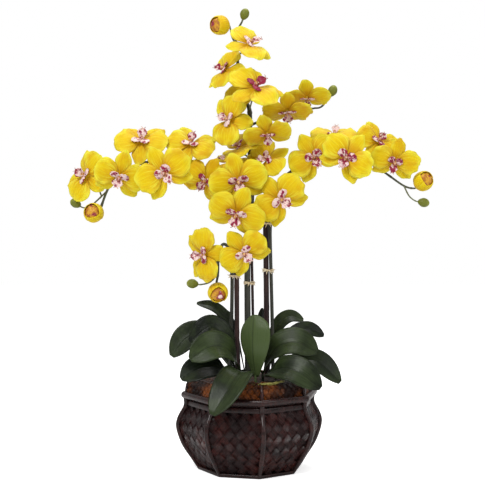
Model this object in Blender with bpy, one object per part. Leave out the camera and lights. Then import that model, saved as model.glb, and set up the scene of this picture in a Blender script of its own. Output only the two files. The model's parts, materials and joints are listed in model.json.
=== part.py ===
"""Potted silk moth orchid: a yellow phalaenopsis in an eight-sided plaited basket pot.

Frame: origin at the middle of the flat underside of the pot, +Z up, -Y towards the front.
Every solid is closed; neighbouring pieces keep a 0.3 mm gap.
"""
import math

import bmesh
import bpy
from mathutils import Matrix, Vector

MM = 0.001
GAP = 0.3

# --- pot, millimetres (radii are measured to the corners of the octagon) ---
POT_SIDES = 8
POT_TURN = 9.8
WALL = 5.0
FLOOR = 8.0
POT_PROFILE = [(81.7, 0.0), (82.5, 7.0), (95.0, 22.0), (110.0, 46.0), (118.5, 72.0),
               (116.0, 88.0), (106.0, 107.0), (103.0, 114.0), (106.0, 121.0),
               (106.0, 131.0), (103.5, 144.0)]
FOOT_OUTER = 88.5
FOOT_INNER = 83.2
FOOT_HEIGHT = 6.0
RAIL_INNER = 106.6
RAIL_OUTER = 117.0
RAIL_LOW = 120.3
RAIL_HIGH = 131.0
RIB_RADIUS = 3.3

# --- growing medium ---
MEDIUM_RIM = 146.0
MEDIUM_SHOULDER = (80.0, 150.0)
MEDIUM_TOP = 154.0
SOCKET_DEPTH = 34.0

# --- blooms ---
BLOOM_SPAN = 90.0
HUB_BACK = 4.0
HUB_RADIUS = 5.0
PETAL_THICKNESS = 1.3
BLOOMS = [
    # name, centre (x, y, z), span, turn, tilt, roll
    ("bloom_left_1", (-274, -25, 491), 88, -30, 5, -122),
    ("bloom_left_2", (-213, -60, 488), 86, 0, -20, -16),
    ("bloom_left_3", (-139, -85, 492), 92, -5, -5, 28),
    ("bloom_left_4", (-181, -25, 549), 90, -5, 30, 178),
    ("bloom_left_5", (-98, -30, 544), 86, -10, 30, 160),
    ("bloom_left_6", (-73, -40, 482), 84, -20, -10, -32),
    ("bloom_mid_1", (-19, -85, 479), 92, 0, -15, 15),
    ("bloom_mid_2", (-34, -20, 516), 78, -20, 55, -85),
    ("bloom_mid_3", (-18, -30, 539), 74, -30, 50, -75),
    ("bloom_mid_4", (28, -37, 518), 76, -20, 30, -55),
    ("bloom_mid_5", (28, -68, 556), 80, 5, -52, 18),
    ("bloom_upper_right_1", (61, -45, 596), 82, 0, -55, 0),
    ("bloom_upper_right_2", (95, -28, 621), 78, 0, -58, 8),
    ("bloom_right_1", (105, -42, 521), 86, -5, 0, 32),
    ("bloom_right_2", (156, -75, 518), 88, -8, 0, -38),
    ("bloom_right_3", (143, 0, 561), 80, 0, 48, 178),
    ("bloom_right_4", (216, -10, 550), 78, 10, 15, 150),
    ("bloom_right_5", (239, -40, 514), 80, -5, -20, -12),
    ("bloom_top_1", (-1, -35, 709), 84, 20, 42, 100),
    ("bloom_top_2", (-42, -15, 670), 78, -40, 30, -92),
    ("bloom_top_3", (8, -77, 631), 92, 5, 38, 128),
    ("bloom_top_4", (-28, -12, 615), 66, -35, 20, -80),
    ("bloom_top_5", (-35, -55, 580), 84, -25, 10, -98),
    ("bloom_front_1", (48, -80, 450), 90, 5, -5, 42),
    ("bloom_front_2", (-22, -110, 426), 92, -10, -25, -25),
    ("bloom_front_3", (-10, -95, 364), 82, -5, -15, 37),
    ("bloom_front_4", (-75, -75, 360), 84, -30, -5, -84),
]
HEADS_ON_LEFT_STEM = ("bloom_front_4",)
HEADS_ON_RIGHT_STEM = ("bloom_right", "bloom_front_1")
STALK_RADIUS = 1.4

# name, centre, axis the bud points along
HALF_OPEN = [
    ("half_open_bud_top", (-51, -15, 744), (-0.6, -0.7, -0.1)),
    ("half_open_bud_left", (-260, -30, 429), (-0.1, -0.85, 0.25)),
    ("half_open_bud_right", (289, -25, 482), (0.45, -0.75, 0.4)),
    ("half_open_bud_lower", (-53, -60, 298), (0.15, -0.9, -0.3)),
]
HALF_RADIUS = 17.0

# --- stems: each branch is (points, root radius, tip radius, bud at the end) ---
# the bud is a half-open bud by name, or a green bud as (centre, axis)
STEM_LEFT = [
    ([(-34, -10, 122), (-31, -10, 243), (-30, -14, 332), (-33, -20, 366), (-45, -26, 377),
      (-52, -34, 356), (-53, -46, 328)], 3.5, 1.6, "half_open_bud_lower"),
    ([(-53, -46, 328), (-66, -46, 315)], 1.5, 1.1, ((-95, -40, 312), (-1.0, 0.1, 0.1))),
]
STEM_MIDDLE = [
    ([(-3, -5, 122), (-4, -5, 258), (-4, -8, 351), (1, -8, 431), (3, -5, 468), (0, 0, 536),
      (0, 2, 596), (-5, 5, 615), (-19, 5, 627), (-27, 5, 645), (-21, 3, 677), (-21, 0, 695),
      (-24, 0, 717), (-19, 1, 742)], 5.6, 1.3, ((-9, -5, 765), (0.35, 0.0, 1.0))),
    ([(-24, 0, 717), (-30, -2, 727)], 1.5, 1.3, "half_open_bud_top"),
    ([(1, -8, 441), (-36, 0, 482), (-78, 0, 507), (-100, 0, 513), (-142, -5, 519),
      (-192, -10, 510), (-225, -15, 488), (-239, -20, 466)], 3.0, 1.8, "half_open_bud_left"),
    ([(-239, -20, 466), (-258, -8, 450), (-272, -6, 439)], 1.4, 1.1,
     ((-293, -10, 446), (-1.0, 0.1, 0.6))),
    ([(0, 1, 578), (22, 0, 587), (37, 0, 592), (69, 2, 597), (92, 2, 604), (108, 0, 607),
      (120, -2, 609)], 2.4, 1.2, ((139, -10, 635), (0.4, 0.0, 1.0))),
]
STEM_RIGHT = [
    ([(39.5, 5, 122), (38, 5, 242), (34, 1, 410), (36.5, 0, 452), (50, 0, 479), (72, -2, 502),
      (104, -2, 522), (145, -2, 536), (173, -2, 533), (205, -5, 512), (228, -8, 497),
      (258, -15, 475)], 3.2, 1.4, "half_open_bud_right"),
    ([(258, -15, 475), (267, -14, 458)], 1.3, 1.0, ((291, -15, 447), (1.0, 0.0, -0.2))),
]
BUD_RADII = (8.0, 10.0)

# --- stakes: foot, head, radius ---
STAKES = [
    ("stake_left", (-21, -12, 121), (-22.5, -12, 350), 4.2),
    ("stake_middle", (8, -3, 121), (3, -3, 360), 2.4),
    ("stake_right", (30, 8, 121.5), (26.5, 8, 434), 4.6),
]

# --- leaves: centre line from foot to tip, half width, roll of the blade about its line ---
LEAVES = [
    ("leaf_back_left", [(-16, 20, 157), (-29, 25, 230), (-57, 25, 266), (-91, 22, 276)], 10, -50),
    ("leaf_back_small", [(-9, 35, 157), (-23, 40, 220), (-35, 41, 253), (-48, 40, 265)], 8, 0),
    ("leaf_upper_left", [(-25, -25, 158), (-40, -33, 218), (-66, -38, 241), (-99, -42, 216)], 19, -60),
    ("leaf_far_left", [(-29, 8, 157), (-64, 6, 214), (-102, 2, 222), (-132, -6, 188)], 22, -60),
    ("leaf_left_front", [(-15, -45, 160), (-34, -66, 204), (-62, -82, 213), (-96, -93, 193)], 23, -55),
    ("leaf_lower_left", [(-29, -34, 158), (-55, -50, 174), (-83, -62, 174), (-112, -72, 159)], 21, -50),
    ("leaf_front_drooping", [(-14, -62, 160), (-16, -87, 173), (-30, -115, 157), (-59, -138, 112)], 25, -10),
    ("leaf_front_upright", [(9, -56, 161), (4, -70, 203), (4, -69, 235), (6, -60, 262)], 27, 0),
    ("leaf_back_tip", [(15, 30, 157), (19, 32, 212), (21, 34, 243), (22, 36, 267)], 9, 0),
    ("leaf_right", [(21, -30, 159), (42, -38, 203), (74, -46, 216), (110, -52, 200)], 23, 55),
    ("leaf_back_right", [(32, 25, 157), (45, 30, 228), (67, 35, 252), (93, 40, 246)], 12, 50),
    ("leaf_far_right_back", [(45, 18, 156), (68, 18, 215), (97, 20, 232), (127, 24, 220)], 13, 55),
    ("leaf_right_front", [(21, -47, 159), (47, -71, 175), (77, -88, 173), (112, -98, 148)], 22, 50),
    ("leaf_far_right", [(43, -20, 156), (80, -22, 180), (114, -24, 180), (150, -26, 147)], 20, 50),
]
LEAF_OUTLINE = [0.3, 0.58, 0.88, 1.05, 1.08, 0.9, 0.22]
LEAF_THICKNESS = 2.0
LEAF_STALK = (2.2, 26.0)

# --- raffia ties: height, stake (x, y, radius), stem (x, y, radius), bow leans ---
TIES = [
    ("tie_left", 324, (-22.3, -12, 4.2), (-30.2, -13.6, 2.6)),
    ("tie_middle", 312, (4.0, -3, 2.4), (-4.1, -6.8, 4.8)),
    ("tie_right_lower", 333, (27.6, 8, 4.6), (35.8, 2.8, 2.9)),
    ("tie_right_upper", 412, (26.8, 8, 4.6), (34.1, 0.9, 2.7)),
]
RAFFIA = 0.9

# --- strand of moss lying on the front of the filling ---
MOSS = [(-4, -85, 152.5), (12, -88, 151.5), (30, -85, 152.0), (45, -77, 153.5), (54, -68, 155.0)]


def clear_scene():
    """Start from an empty scene."""
    for obj in list(bpy.data.objects):
        bpy.data.objects.remove(obj, do_unlink=True)


def material(name, colour, roughness, metallic=0.0):
    """Principled material with a plain colour."""
    mat = bpy.data.materials.new(name)
    mat.use_nodes = True
    shader = mat.node_tree.nodes["Principled BSDF"]
    shader.inputs["Base Color"].default_value = (*colour, 1.0)
    shader.inputs["Roughness"].default_value = roughness
    shader.inputs["Metallic"].default_value = metallic
    mat.diffuse_color = (*colour, 1.0)
    return mat


def solid(name, verts, faces, mat, smooth=True):
    """Closed mesh object from points in millimetres."""
    mesh = bpy.data.meshes.new(name)
    mesh.from_pydata([Vector(v) * MM for v in verts], [], faces)
    bm = bmesh.new()
    bm.from_mesh(mesh)
    bmesh.ops.recalc_face_normals(bm, faces=bm.faces)
    bm.to_mesh(mesh)
    bm.free()
    for poly in mesh.polygons:
        poly.use_smooth = smooth
    obj = bpy.data.objects.new(name, mesh)
    bpy.context.scene.collection.objects.link(obj)
    if mat is not None:
        mesh.materials.append(mat)
    return obj


def slab(rows, thickness):
    """Closed sheet with a thickness from a grid of points; returns verts and faces."""
    count = len(rows)
    width = len(rows[0])
    grid = [[Vector(p) for p in row] for row in rows]
    top = []
    bottom = []
    for i in range(count):
        for j in range(width):
            along = grid[min(i + 1, count - 1)][j] - grid[max(i - 1, 0)][j]
            across = grid[i][min(j + 1, width - 1)] - grid[i][max(j - 1, 0)]
            normal = across.cross(along).normalized()
            top.append(grid[i][j] + normal * thickness / 2)
            bottom.append(grid[i][j] - normal * thickness / 2)
    size = count * width
    faces = []
    for i in range(count - 1):
        for j in range(width - 1):
            a = i * width + j
            quad = (a, a + 1, a + width + 1, a + width)
            faces.append(quad)
            faces.append(tuple(size + k for k in reversed(quad)))
    edge = [(0, j) for j in range(width)]
    edge += [(i, width - 1) for i in range(1, count)]
    edge += [(count - 1, j) for j in range(width - 2, -1, -1)]
    edge += [(i, 0) for i in range(count - 2, 0, -1)]
    ring = [i * width + j for i, j in edge]
    for k, a in enumerate(ring):
        b = ring[(k + 1) % len(ring)]
        faces.append((b, a, size + a, size + b))
    return top + bottom, faces


def spline(points, steps):
    """Catmull-Rom curve through the points with a number of steps per span."""
    pts = [Vector(p) for p in points]
    ext = [pts[0] * 2 - pts[1]] + pts + [pts[-1] * 2 - pts[-2]]
    out = []
    for i in range(len(pts) - 1):
        a, b, c, d = ext[i:i + 4]
        for s in range(steps):
            t = s / steps
            out.append(0.5 * (2 * b + (c - a) * t + (2 * a - 5 * b + 4 * c - d) * t * t
                              + (3 * b - a - 3 * c + d) * t * t * t))
    out.append(pts[-1])
    return out


def tube(points, radii, sides):
    """Closed round bar along the points; returns verts and faces."""
    pts = [Vector(p) for p in points]
    last = len(pts) - 1
    tangents = [(pts[min(i + 1, last)] - pts[max(i - 1, 0)]).normalized() for i in range(last + 1)]
    side = tangents[0].orthogonal().normalized()
    verts = []
    for i, point in enumerate(pts):
        side = (side - tangents[i] * side.dot(tangents[i])).normalized()
        other = tangents[i].cross(side)
        for k in range(sides):
            ang = 2 * math.pi * k / sides
            verts.append(point + (side * math.cos(ang) + other * math.sin(ang)) * radii[i])
    faces = []
    for i in range(last):
        for k in range(sides):
            a = i * sides + k
            b = i * sides + (k + 1) % sides
            faces.append((a, b, b + sides, a + sides))
    faces.append(tuple(range(sides - 1, -1, -1)))
    faces.append(tuple(last * sides + k for k in range(sides)))
    return verts, faces


def egg(centre, axis, radius, half_length, sides, rings):
    """Closed egg-shaped body about an axis; returns verts and faces."""
    centre = Vector(centre)
    axis = Vector(axis).normalized()
    points = []
    radii = []
    for i in range(rings + 1):
        ang = math.pi * (0.08 + 0.84 * i / rings)
        points.append(centre - axis * half_length * math.cos(ang))
        radii.append(radius * math.sin(ang) * (1.06 - 0.12 * i / rings))
    return tube(points, radii, sides)


def lathe(profile, sides, turn):
    """Closed many-sided body of revolution; profile runs from axis to axis."""
    verts = []
    rings = []
    for radius, height in profile:
        if radius == 0.0:
            rings.append([len(verts)])
            verts.append((0.0, 0.0, height))
            continue
        ring = []
        for k in range(sides):
            ang = math.radians(turn + 360.0 * k / sides)
            ring.append(len(verts))
            verts.append((radius * math.sin(ang), -radius * math.cos(ang), height))
        rings.append(ring)
    faces = []
    for low, high in zip(rings, rings[1:]):
        for k in range(sides):
            n = (k + 1) % sides
            if len(low) == 1:
                faces.append((low[0], high[k], high[n]))
            elif len(high) == 1:
                faces.append((low[k], low[n], high[0]))
            else:
                faces.append((low[k], low[n], high[n], high[k]))
    return verts, faces


def ring_body(section, sides, turn):
    """Closed many-sided hoop with the given closed section of (radius, height) points."""
    verts = []
    count = len(section)
    for k in range(sides):
        ang = math.radians(turn + 360.0 * k / sides)
        for radius, height in section:
            verts.append((radius * math.sin(ang), -radius * math.cos(ang), height))
    faces = []
    for k in range(sides):
        n = (k + 1) % sides
        for i in range(count):
            j = (i + 1) % count
            faces.append((k * count + i, n * count + i, n * count + j, k * count + j))
    return verts, faces


def boolean(base, others, operation):
    """Join to or cut from the base with each of the other bodies, then remove them."""
    for other in others:
        mod = base.modifiers.new("cut", "BOOLEAN")
        mod.operation = operation
        mod.solver = "EXACT"
        mod.object = other
        bpy.context.view_layer.objects.active = base
        bpy.ops.object.modifier_apply(modifier=mod.name)
        bpy.data.objects.remove(other, do_unlink=True)
    return base


def tidy_mesh(obj):
    """Weld stray duplicate points and turn thin faces into triangles."""
    bm = bmesh.new()
    bm.from_mesh(obj.data)
    bmesh.ops.remove_doubles(bm, verts=bm.verts, dist=0.00002)
    bmesh.ops.dissolve_degenerate(bm, edges=bm.edges, dist=0.00002)
    bmesh.ops.triangulate(bm, faces=bm.faces)
    bm.to_mesh(obj.data)
    bm.free()
    return obj


# --------------------------------------------------------------------------- pot
def build_pot(mat_weave, mat_frame):
    """Plaited eight-sided body with its floor, and the frame of foot, ribs and rail."""
    inner = [(r - WALL, h) for r, h in reversed(POT_PROFILE) if h > FLOOR + 4]
    inner[0] = (POT_PROFILE[-1][0] - WALL, POT_PROFILE[-1][1])
    profile = [(0.0, 0.0)] + POT_PROFILE + inner + [(POT_PROFILE[1][0] - WALL, FLOOR), (0.0, FLOOR)]
    solid("pot_basket", *lathe(profile, POT_SIDES, POT_TURN), mat_weave, smooth=False)

    foot = [(FOOT_INNER, 0.0), (FOOT_OUTER, 0.0), (FOOT_OUTER + 1.5, FOOT_HEIGHT), (FOOT_INNER, FOOT_HEIGHT)]
    frame = solid("pot_frame", *ring_body(foot, POT_SIDES, POT_TURN), mat_frame)
    middle = (RAIL_LOW + RAIL_HIGH) / 2
    rail = [(RAIL_INNER, RAIL_LOW), (RAIL_OUTER - 2.5, RAIL_LOW), (RAIL_OUTER, middle - 2.0),
            (RAIL_OUTER, middle + 2.0), (RAIL_OUTER - 2.5, RAIL_HIGH), (RAIL_INNER, RAIL_HIGH)]
    parts = [solid("rail", *ring_body(rail, POT_SIDES, POT_TURN), None)]
    for k in range(POT_SIDES):
        ang = math.radians(POT_TURN + 360.0 * k / POT_SIDES)
        out = Vector((math.sin(ang), -math.cos(ang), 0.0))
        low = []
        for r, h in POT_PROFILE[1:8]:
            low.append(out * (r + GAP + RIB_RADIUS + 0.6) + Vector((0, 0, h)))
        low[0] = out * (FOOT_OUTER - 2.4) + Vector((0, 0, 2.0))
        low[-1] = out * (POT_PROFILE[8][0] + GAP + RIB_RADIUS + 0.8) + Vector((0, 0, 122.5))
        radii = [RIB_RADIUS - 1.2] + [RIB_RADIUS] * (len(low) - 1)
        parts.append(solid("rib", *tube(low, radii, 5), None))
        high = [out * (POT_PROFILE[9][0] + GAP + 3.4) + Vector((0, 0, 129.0)),
                out * (POT_PROFILE[10][0] + GAP + 3.2) + Vector((0, 0, 144.0))]
        parts.append(solid("rib", *tube(high, [2.8, 2.8], 5), None))
    boolean(frame, parts, "UNION")
    tidy_mesh(frame)


def build_medium(mat, sockets):
    """Filling of the pot with a socket for every stake, stem and leaf stalk."""
    clear = GAP + 0.1
    profile = [(0.0, FLOOR + clear), (POT_PROFILE[1][0] - WALL - 1.5, FLOOR + clear)]
    for r, h in POT_PROFILE[2:]:
        profile.append((r - WALL - 0.9, h))
    profile += [(96.0, MEDIUM_RIM), MEDIUM_SHOULDER, (0.0, MEDIUM_TOP)]
    medium = solid("growing_medium", *lathe(profile, POT_SIDES, POT_TURN), mat)
    cutters = []
    for (x, y), radius in sockets:
        low = (x, y, MEDIUM_TOP - SOCKET_DEPTH)
        high = (x, y, MEDIUM_TOP + 10.0)
        cutters.append(solid("socket", *tube([low, high], [radius, radius], 6), None))
    boolean(medium, cutters, "DIFFERENCE")
    tidy_mesh(medium)


# --------------------------------------------------------------------------- blooms
def tepal(angle, spread, stations, tip):
    """Points of one petal or sepal: foot pair, rows of three, and the tip."""
    ang = math.radians(angle)
    out = Vector((math.cos(ang), math.sin(ang), 0.0))
    side = Vector((-math.sin(ang), math.cos(ang), 0.0))
    foot = []
    for turn in (-spread, spread):
        t = math.radians(angle + turn)
        foot.append(Vector((math.cos(t), math.sin(t), 0.0)) * HUB_RADIUS)
    rows = []
    for reach, half, rise in stations:
        lift = Vector((0.0, 0.0, rise))
        drop = Vector((0.0, 0.0, rise - 0.1 * half))
        rows.append([out * reach - side * half + drop, out * reach + lift, out * reach + side * half + drop])
    return foot, rows, out * tip[0] + Vector((0.0, 0.0, tip[1]))


def bloom_master(mat):
    """One moth-orchid flower head facing +Z with the lip towards -Y."""
    wide = [(17.0, 20.0, 4.6), (34.0, 22.5, 5.6)]
    narrow = [(24.0, 13.0, -1.2)]
    tepals = []
    for angle in (8.0, 90.0, 172.0, 218.0, 322.0):
        petal = angle in (8.0, 172.0)
        tip = (46.0, 2.5) if petal else (44.0, -3.0)
        tepals.append(tepal(angle, 20.0, wide if petal else narrow, tip))
    top = [Vector((0.0, 0.0, 1.2))]
    faces = []
    feet = []
    for foot, rows, tip in tepals:
        a = len(top)
        top += foot
        feet += [a, a + 1]
        previous = [a, a + 1]
        for row in rows:
            k = len(top)
            top += row
            if len(previous) == 2:
                faces += [(previous[0], k, k + 1), (previous[0], k + 1, previous[1]),
                          (previous[1], k + 1, k + 2)]
            else:
                p = previous
                faces += [(p[0], k, k + 1, p[1]), (p[1], k + 1, k + 2, p[2])]
            previous = [k, k + 1, k + 2]
        k = len(top)
        top.append(tip)
        faces += [(previous[0], k, previous[1]), (previous[1], k, previous[2])]
    for i, a in enumerate(feet):
        faces.append((0, a, feet[(i + 1) % len(feet)]))
    size = len(top)
    bottom = [p - Vector((0.0, 0.0, PETAL_THICKNESS)) for p in top]
    bottom[0] = Vector((0.0, 0.0, -HUB_BACK))
    used = {(f[i], f[(i + 1) % len(f)]) for f in faces for i in range(len(f))}
    skin = faces + [tuple(size + k for k in reversed(f)) for f in faces]
    for a, b in sorted(used):
        if (b, a) not in used:
            skin.append((b, a, size + a, size + b))
    head = solid("bloom_master", top + bottom, skin, mat)
    parts = [solid("column", *tube([(0, -0.5, 0.0), (0, -2.5, 9.5)], [3.2, 2.6], 5), None)]
    lip = [[(-3.0, -1.0, 0.8), (-1.2, -2.0, 0.6), (1.2, -2.0, 0.6), (3.0, -1.0, 0.8)],
           [(-10.0, -1.5, 11.5), (-4.0, -7.0, 5.5), (4.0, -7.0, 5.5), (10.0, -1.5, 11.5)],
           [(-6.0, -11.5, 9.5), (-3.0, -13.0, 8.8), (3.0, -13.0, 8.8), (6.0, -11.5, 9.5)],
           [(-2.0, -18.0, 11.0), (-0.7, -18.6, 10.8), (0.7, -18.6, 10.8), (2.0, -18.0, 11.0)]]
    parts.append(solid("lip", *slab(lip, 1.5), None))
    return tidy_mesh(boolean(head, parts, "UNION"))


def facing(turn, tilt, roll):
    """Rotation of a head: turned about the vertical, tilted up, rolled in its own plane."""
    a = math.radians(turn)
    b = math.radians(tilt)
    normal = Vector((math.sin(a) * math.cos(b), -math.cos(a) * math.cos(b), math.sin(b)))
    up = Vector((-math.sin(a) * math.sin(b), math.cos(a) * math.sin(b), math.cos(b)))
    right = up.cross(normal)
    c = math.radians(roll)
    up_rolled = up * math.cos(c) - right * math.sin(c)
    right_rolled = right * math.cos(c) + up * math.sin(c)
    return Matrix((right_rolled, up_rolled, normal)).transposed()


def place_bloom(master, name, centre, span, turn, tilt, roll):
    """Copy of the flower head with its place baked into its own mesh."""
    obj = bpy.data.objects.new(name, master.data.copy())
    scale = Matrix.Diagonal((span / BLOOM_SPAN,) * 3)
    matrix = Matrix.Translation(Vector(centre) * MM) @ (facing(turn, tilt, roll) @ scale).to_4x4()
    obj.data.transform(matrix)
    obj.data.name = name
    bpy.context.scene.collection.objects.link(obj)
    return obj


def build_half_open(name, centre, axis, mat):
    """Cupped opening bud: a thick egg-shaped shell with its front third cut away."""
    c = Vector(centre)
    ax = Vector(axis).normalized()
    bud = solid(name, *egg(c, ax, HALF_RADIUS, HALF_RADIUS * 1.12, 8, 5), mat)
    hollow = egg(c + ax * 9.0, ax, HALF_RADIUS * 0.78, HALF_RADIUS * 1.0, 7, 4)
    boolean(bud, [solid("hollow", *hollow, None)], "DIFFERENCE")
    lip = tube([c - ax * 9.0, c + ax * 4.0, c + ax * 9.0], [3.0, 4.5, 1.5], 5)
    boolean(bud, [solid("lip", *lip, None)], "UNION")
    return tidy_mesh(bud)


# --------------------------------------------------------------------------- stems
def bud_seat(name):
    """Last two points of a stalk that stops just behind a half-open bud."""
    for bud, centre, axis in HALF_OPEN:
        if bud == name:
            ax = Vector(axis).normalized()
            back = HALF_RADIUS * 1.12 * math.cos(math.pi * 0.08) + GAP
            return [Vector(centre) - ax * (back + 7.0), Vector(centre) - ax * back]
    raise ValueError(name)


def head_stalk(centre, span, turn, tilt, path):
    """Stalk from the nearest point of a branch to the back of a flower head."""
    normal = facing(turn, tilt, 0.0).col[2]
    seat = HUB_BACK * span / BLOOM_SPAN + GAP
    end = Vector(centre) - normal * seat
    near = Vector(centre) - normal * (seat + 11.0)
    root = min(path, key=lambda p: (p - near + Vector((0, 0, 6))).length)
    middle = (root + near) / 2 + Vector((0, 3.0, 3.0))
    return [root, middle, near, end]


def build_stem(name, branches, mat):
    """Stem with its side branches, stalks to the flower heads, and green buds."""
    parts = []
    paths = []
    for index, (points, root, tip, bud) in enumerate(branches):
        path = [Vector(p) for p in points]
        if isinstance(bud, str):
            path += bud_seat(bud)
        else:
            radius, half = BUD_RADII
            axis = Vector(bud[1]).normalized()
            path += [Vector(bud[0]) - axis * (half + 4.0), Vector(bud[0]) - axis * (half - 4.0)]
            parts.append(solid("bud", *egg(bud[0], axis, radius, half, 7, 4), None))
        paths += spline(path, 4)
        steps = len(path) - 1
        radii = [root + (tip - root) * i / steps for i in range(steps + 1)]
        branch = solid(name, *tube(path, radii, 6), mat if index == 0 else None)
        if index == 0:
            trunk = branch
        else:
            parts.append(branch)
    for head, centre, span, turn, tilt, _roll in BLOOMS:
        holder = "stem_middle"
        if head.startswith(HEADS_ON_LEFT_STEM):
            holder = "stem_left"
        if head.startswith(HEADS_ON_RIGHT_STEM):
            holder = "stem_right"
        if holder == name:
            line = head_stalk(centre, span, turn, tilt, paths)
            parts.append(solid("stalk", *tube(line, [STALK_RADIUS] * 4, 4), None))
    return tidy_mesh(boolean(trunk, parts, "UNION"))


def build_tie(name, height, stake, stem, mat):
    """Raffia loop round a stake and its stem, with the two short ends of the knot."""
    line = []
    for k in range(12):
        ang = 2 * math.pi * k / 12
        d = Vector((math.cos(ang), math.sin(ang), 0.0))
        best = max((stake, stem), key=lambda c: c[0] * d.x + c[1] * d.y + c[2])
        reach = best[2] + GAP + 0.3 + RAFFIA
        line.append(Vector((best[0], best[1], height)) + d * reach)
    verts = []
    count = len(line)
    for i, point in enumerate(line):
        along = (line[(i + 1) % count] - line[i - 1]).normalized()
        out = along.cross(Vector((0, 0, 1)))
        for side, rise in ((1, 0), (0, 1.6), (-1, 0), (0, -1.6)):
            verts.append(point + out * side * RAFFIA + Vector((0, 0, rise)))
    faces = []
    for i in range(count):
        n = (i + 1) % count
        for k in range(4):
            j = (k + 1) % 4
            faces.append((i * 4 + k, n * 4 + k, n * 4 + j, i * 4 + j))
    band = solid(name, verts, faces, mat)
    knot = min(line, key=lambda p: p.y)
    parts = []
    for sign in (-1.0, 1.0):
        tail = [knot, knot + Vector((sign * 5, -3.0, 1.5)), knot + Vector((sign * 12, -4.0, -2.0 + sign))]
        parts.append(solid("tail", *tube(tail, [1.1, 0.9, 0.5], 4), None))
    return tidy_mesh(boolean(band, parts, "UNION"))


def build_leaf(name, points, half_width, roll, mat):
    """Strap leaf with a shallow keel, and the stalk that stands in the filling."""
    line = spline(points, 2)
    heading = Vector((line[-1].x - line[0].x, line[-1].y - line[0].y, 0.0)).normalized()
    across = Vector((heading.y, -heading.x, 0.0))
    last = len(line) - 1
    rows = []
    for i, point in enumerate(line):
        along = (line[min(i + 1, last)] - line[max(i - 1, 0)]).normalized()
        side = (across - along * across.dot(along)).normalized()
        side = Matrix.Rotation(math.radians(roll) * min(1.0, i / 2), 3, along) @ side
        up = side.cross(along)
        half = half_width * LEAF_OUTLINE[i]
        lift = up * half * 0.22
        rows.append([point - side * half + lift, point, point + side * half + lift])
    leaf = solid(name, *slab(rows, LEAF_THICKNESS), mat)
    radius, depth = LEAF_STALK
    foot = line[0]
    stalk = tube([foot - Vector((0, 0, depth)), foot + Vector((0, 0, 3.0))], [radius, radius], 6)
    return tidy_mesh(boolean(leaf, [solid("stalk", *stalk, None)], "UNION"))


def main():
    clear_scene()
    petal = material("petal_yellow", (0.80, 0.62, 0.04), 0.55)
    stem_mat = material("stem_green", (0.05, 0.07, 0.03), 0.5)
    stake_mat = material("stake_brown", (0.04, 0.02, 0.02), 0.6)
    leaf_mat = material("leaf_green", (0.04, 0.07, 0.03), 0.4)
    raffia = material("raffia_cream", (0.70, 0.60, 0.42), 0.8)
    build_pot(material("basket_weave", (0.06, 0.025, 0.02), 0.5),
              material("basket_frame", (0.05, 0.02, 0.02), 0.4))
    master = bloom_master(petal)
    for row in BLOOMS:
        place_bloom(master, *row)
    bpy.data.objects.remove(master, do_unlink=True)
    for name, centre, axis in HALF_OPEN:
        build_half_open(name, centre, axis, petal)
    for name, branches in (("stem_left", STEM_LEFT), ("stem_middle", STEM_MIDDLE),
                           ("stem_right", STEM_RIGHT)):
        build_stem(name, branches, stem_mat)
    sockets = [((-3, -5), 6.2)]
    sockets += [((-33.5, -10), 4.2), ((39.5, 5), 3.8)]
    for name, foot, head, radius in STAKES:
        solid(name, *tube([foot, head], [radius, radius], 8), stake_mat)
        sockets.append(((foot[0], foot[1]), radius + 1.0))
    for row in LEAVES:
        build_leaf(*row, leaf_mat)
        sockets.append(((row[1][0][0], row[1][0][1]), LEAF_STALK[0] + 0.5))
    build_medium(material("growing_medium", (0.10, 0.05, 0.02), 0.9), sockets)
    for row in TIES:
        build_tie(*row, raffia)
    strand = spline(MOSS, 2)
    radii = [1.2] + [2.3] * (len(strand) - 2) + [1.0]
    solid("moss_strand", *tube(strand, radii, 6), material("moss_green", (0.35, 0.36, 0.10), 0.9))


main()
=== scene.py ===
import json
import math
import random

import bmesh
import bpy
from bpy.props import FloatProperty, FloatVectorProperty, PointerProperty
from mathutils import Matrix, Vector

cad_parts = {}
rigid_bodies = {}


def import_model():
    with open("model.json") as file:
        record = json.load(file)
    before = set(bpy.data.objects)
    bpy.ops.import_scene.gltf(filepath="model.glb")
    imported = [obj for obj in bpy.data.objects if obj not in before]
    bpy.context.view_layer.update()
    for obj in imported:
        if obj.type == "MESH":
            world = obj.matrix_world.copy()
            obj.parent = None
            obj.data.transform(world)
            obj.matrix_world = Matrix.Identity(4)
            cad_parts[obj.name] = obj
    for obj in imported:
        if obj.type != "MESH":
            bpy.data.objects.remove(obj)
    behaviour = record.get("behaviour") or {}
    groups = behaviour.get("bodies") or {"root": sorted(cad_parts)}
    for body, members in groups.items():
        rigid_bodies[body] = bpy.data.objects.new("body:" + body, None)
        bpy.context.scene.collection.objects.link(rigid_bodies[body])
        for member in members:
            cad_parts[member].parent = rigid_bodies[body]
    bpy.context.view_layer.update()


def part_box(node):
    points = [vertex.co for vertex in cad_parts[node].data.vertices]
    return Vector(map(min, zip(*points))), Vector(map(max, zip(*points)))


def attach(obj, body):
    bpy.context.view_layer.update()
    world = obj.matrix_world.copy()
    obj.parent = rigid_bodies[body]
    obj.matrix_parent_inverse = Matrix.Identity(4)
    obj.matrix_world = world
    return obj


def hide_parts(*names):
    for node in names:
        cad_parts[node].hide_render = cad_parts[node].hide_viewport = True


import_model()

bl_info = {
    "name": "Potted Silk Orchid",
    "version": (1, 0, 0),
    "blender": (4, 5, 0),
    "location": "View3D > Sidebar > Orchid",
    "description": "Yellow silk moth orchid in an eight-sided plaited basket pot",
    "category": "Object",
}

MM = 0.001

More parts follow.
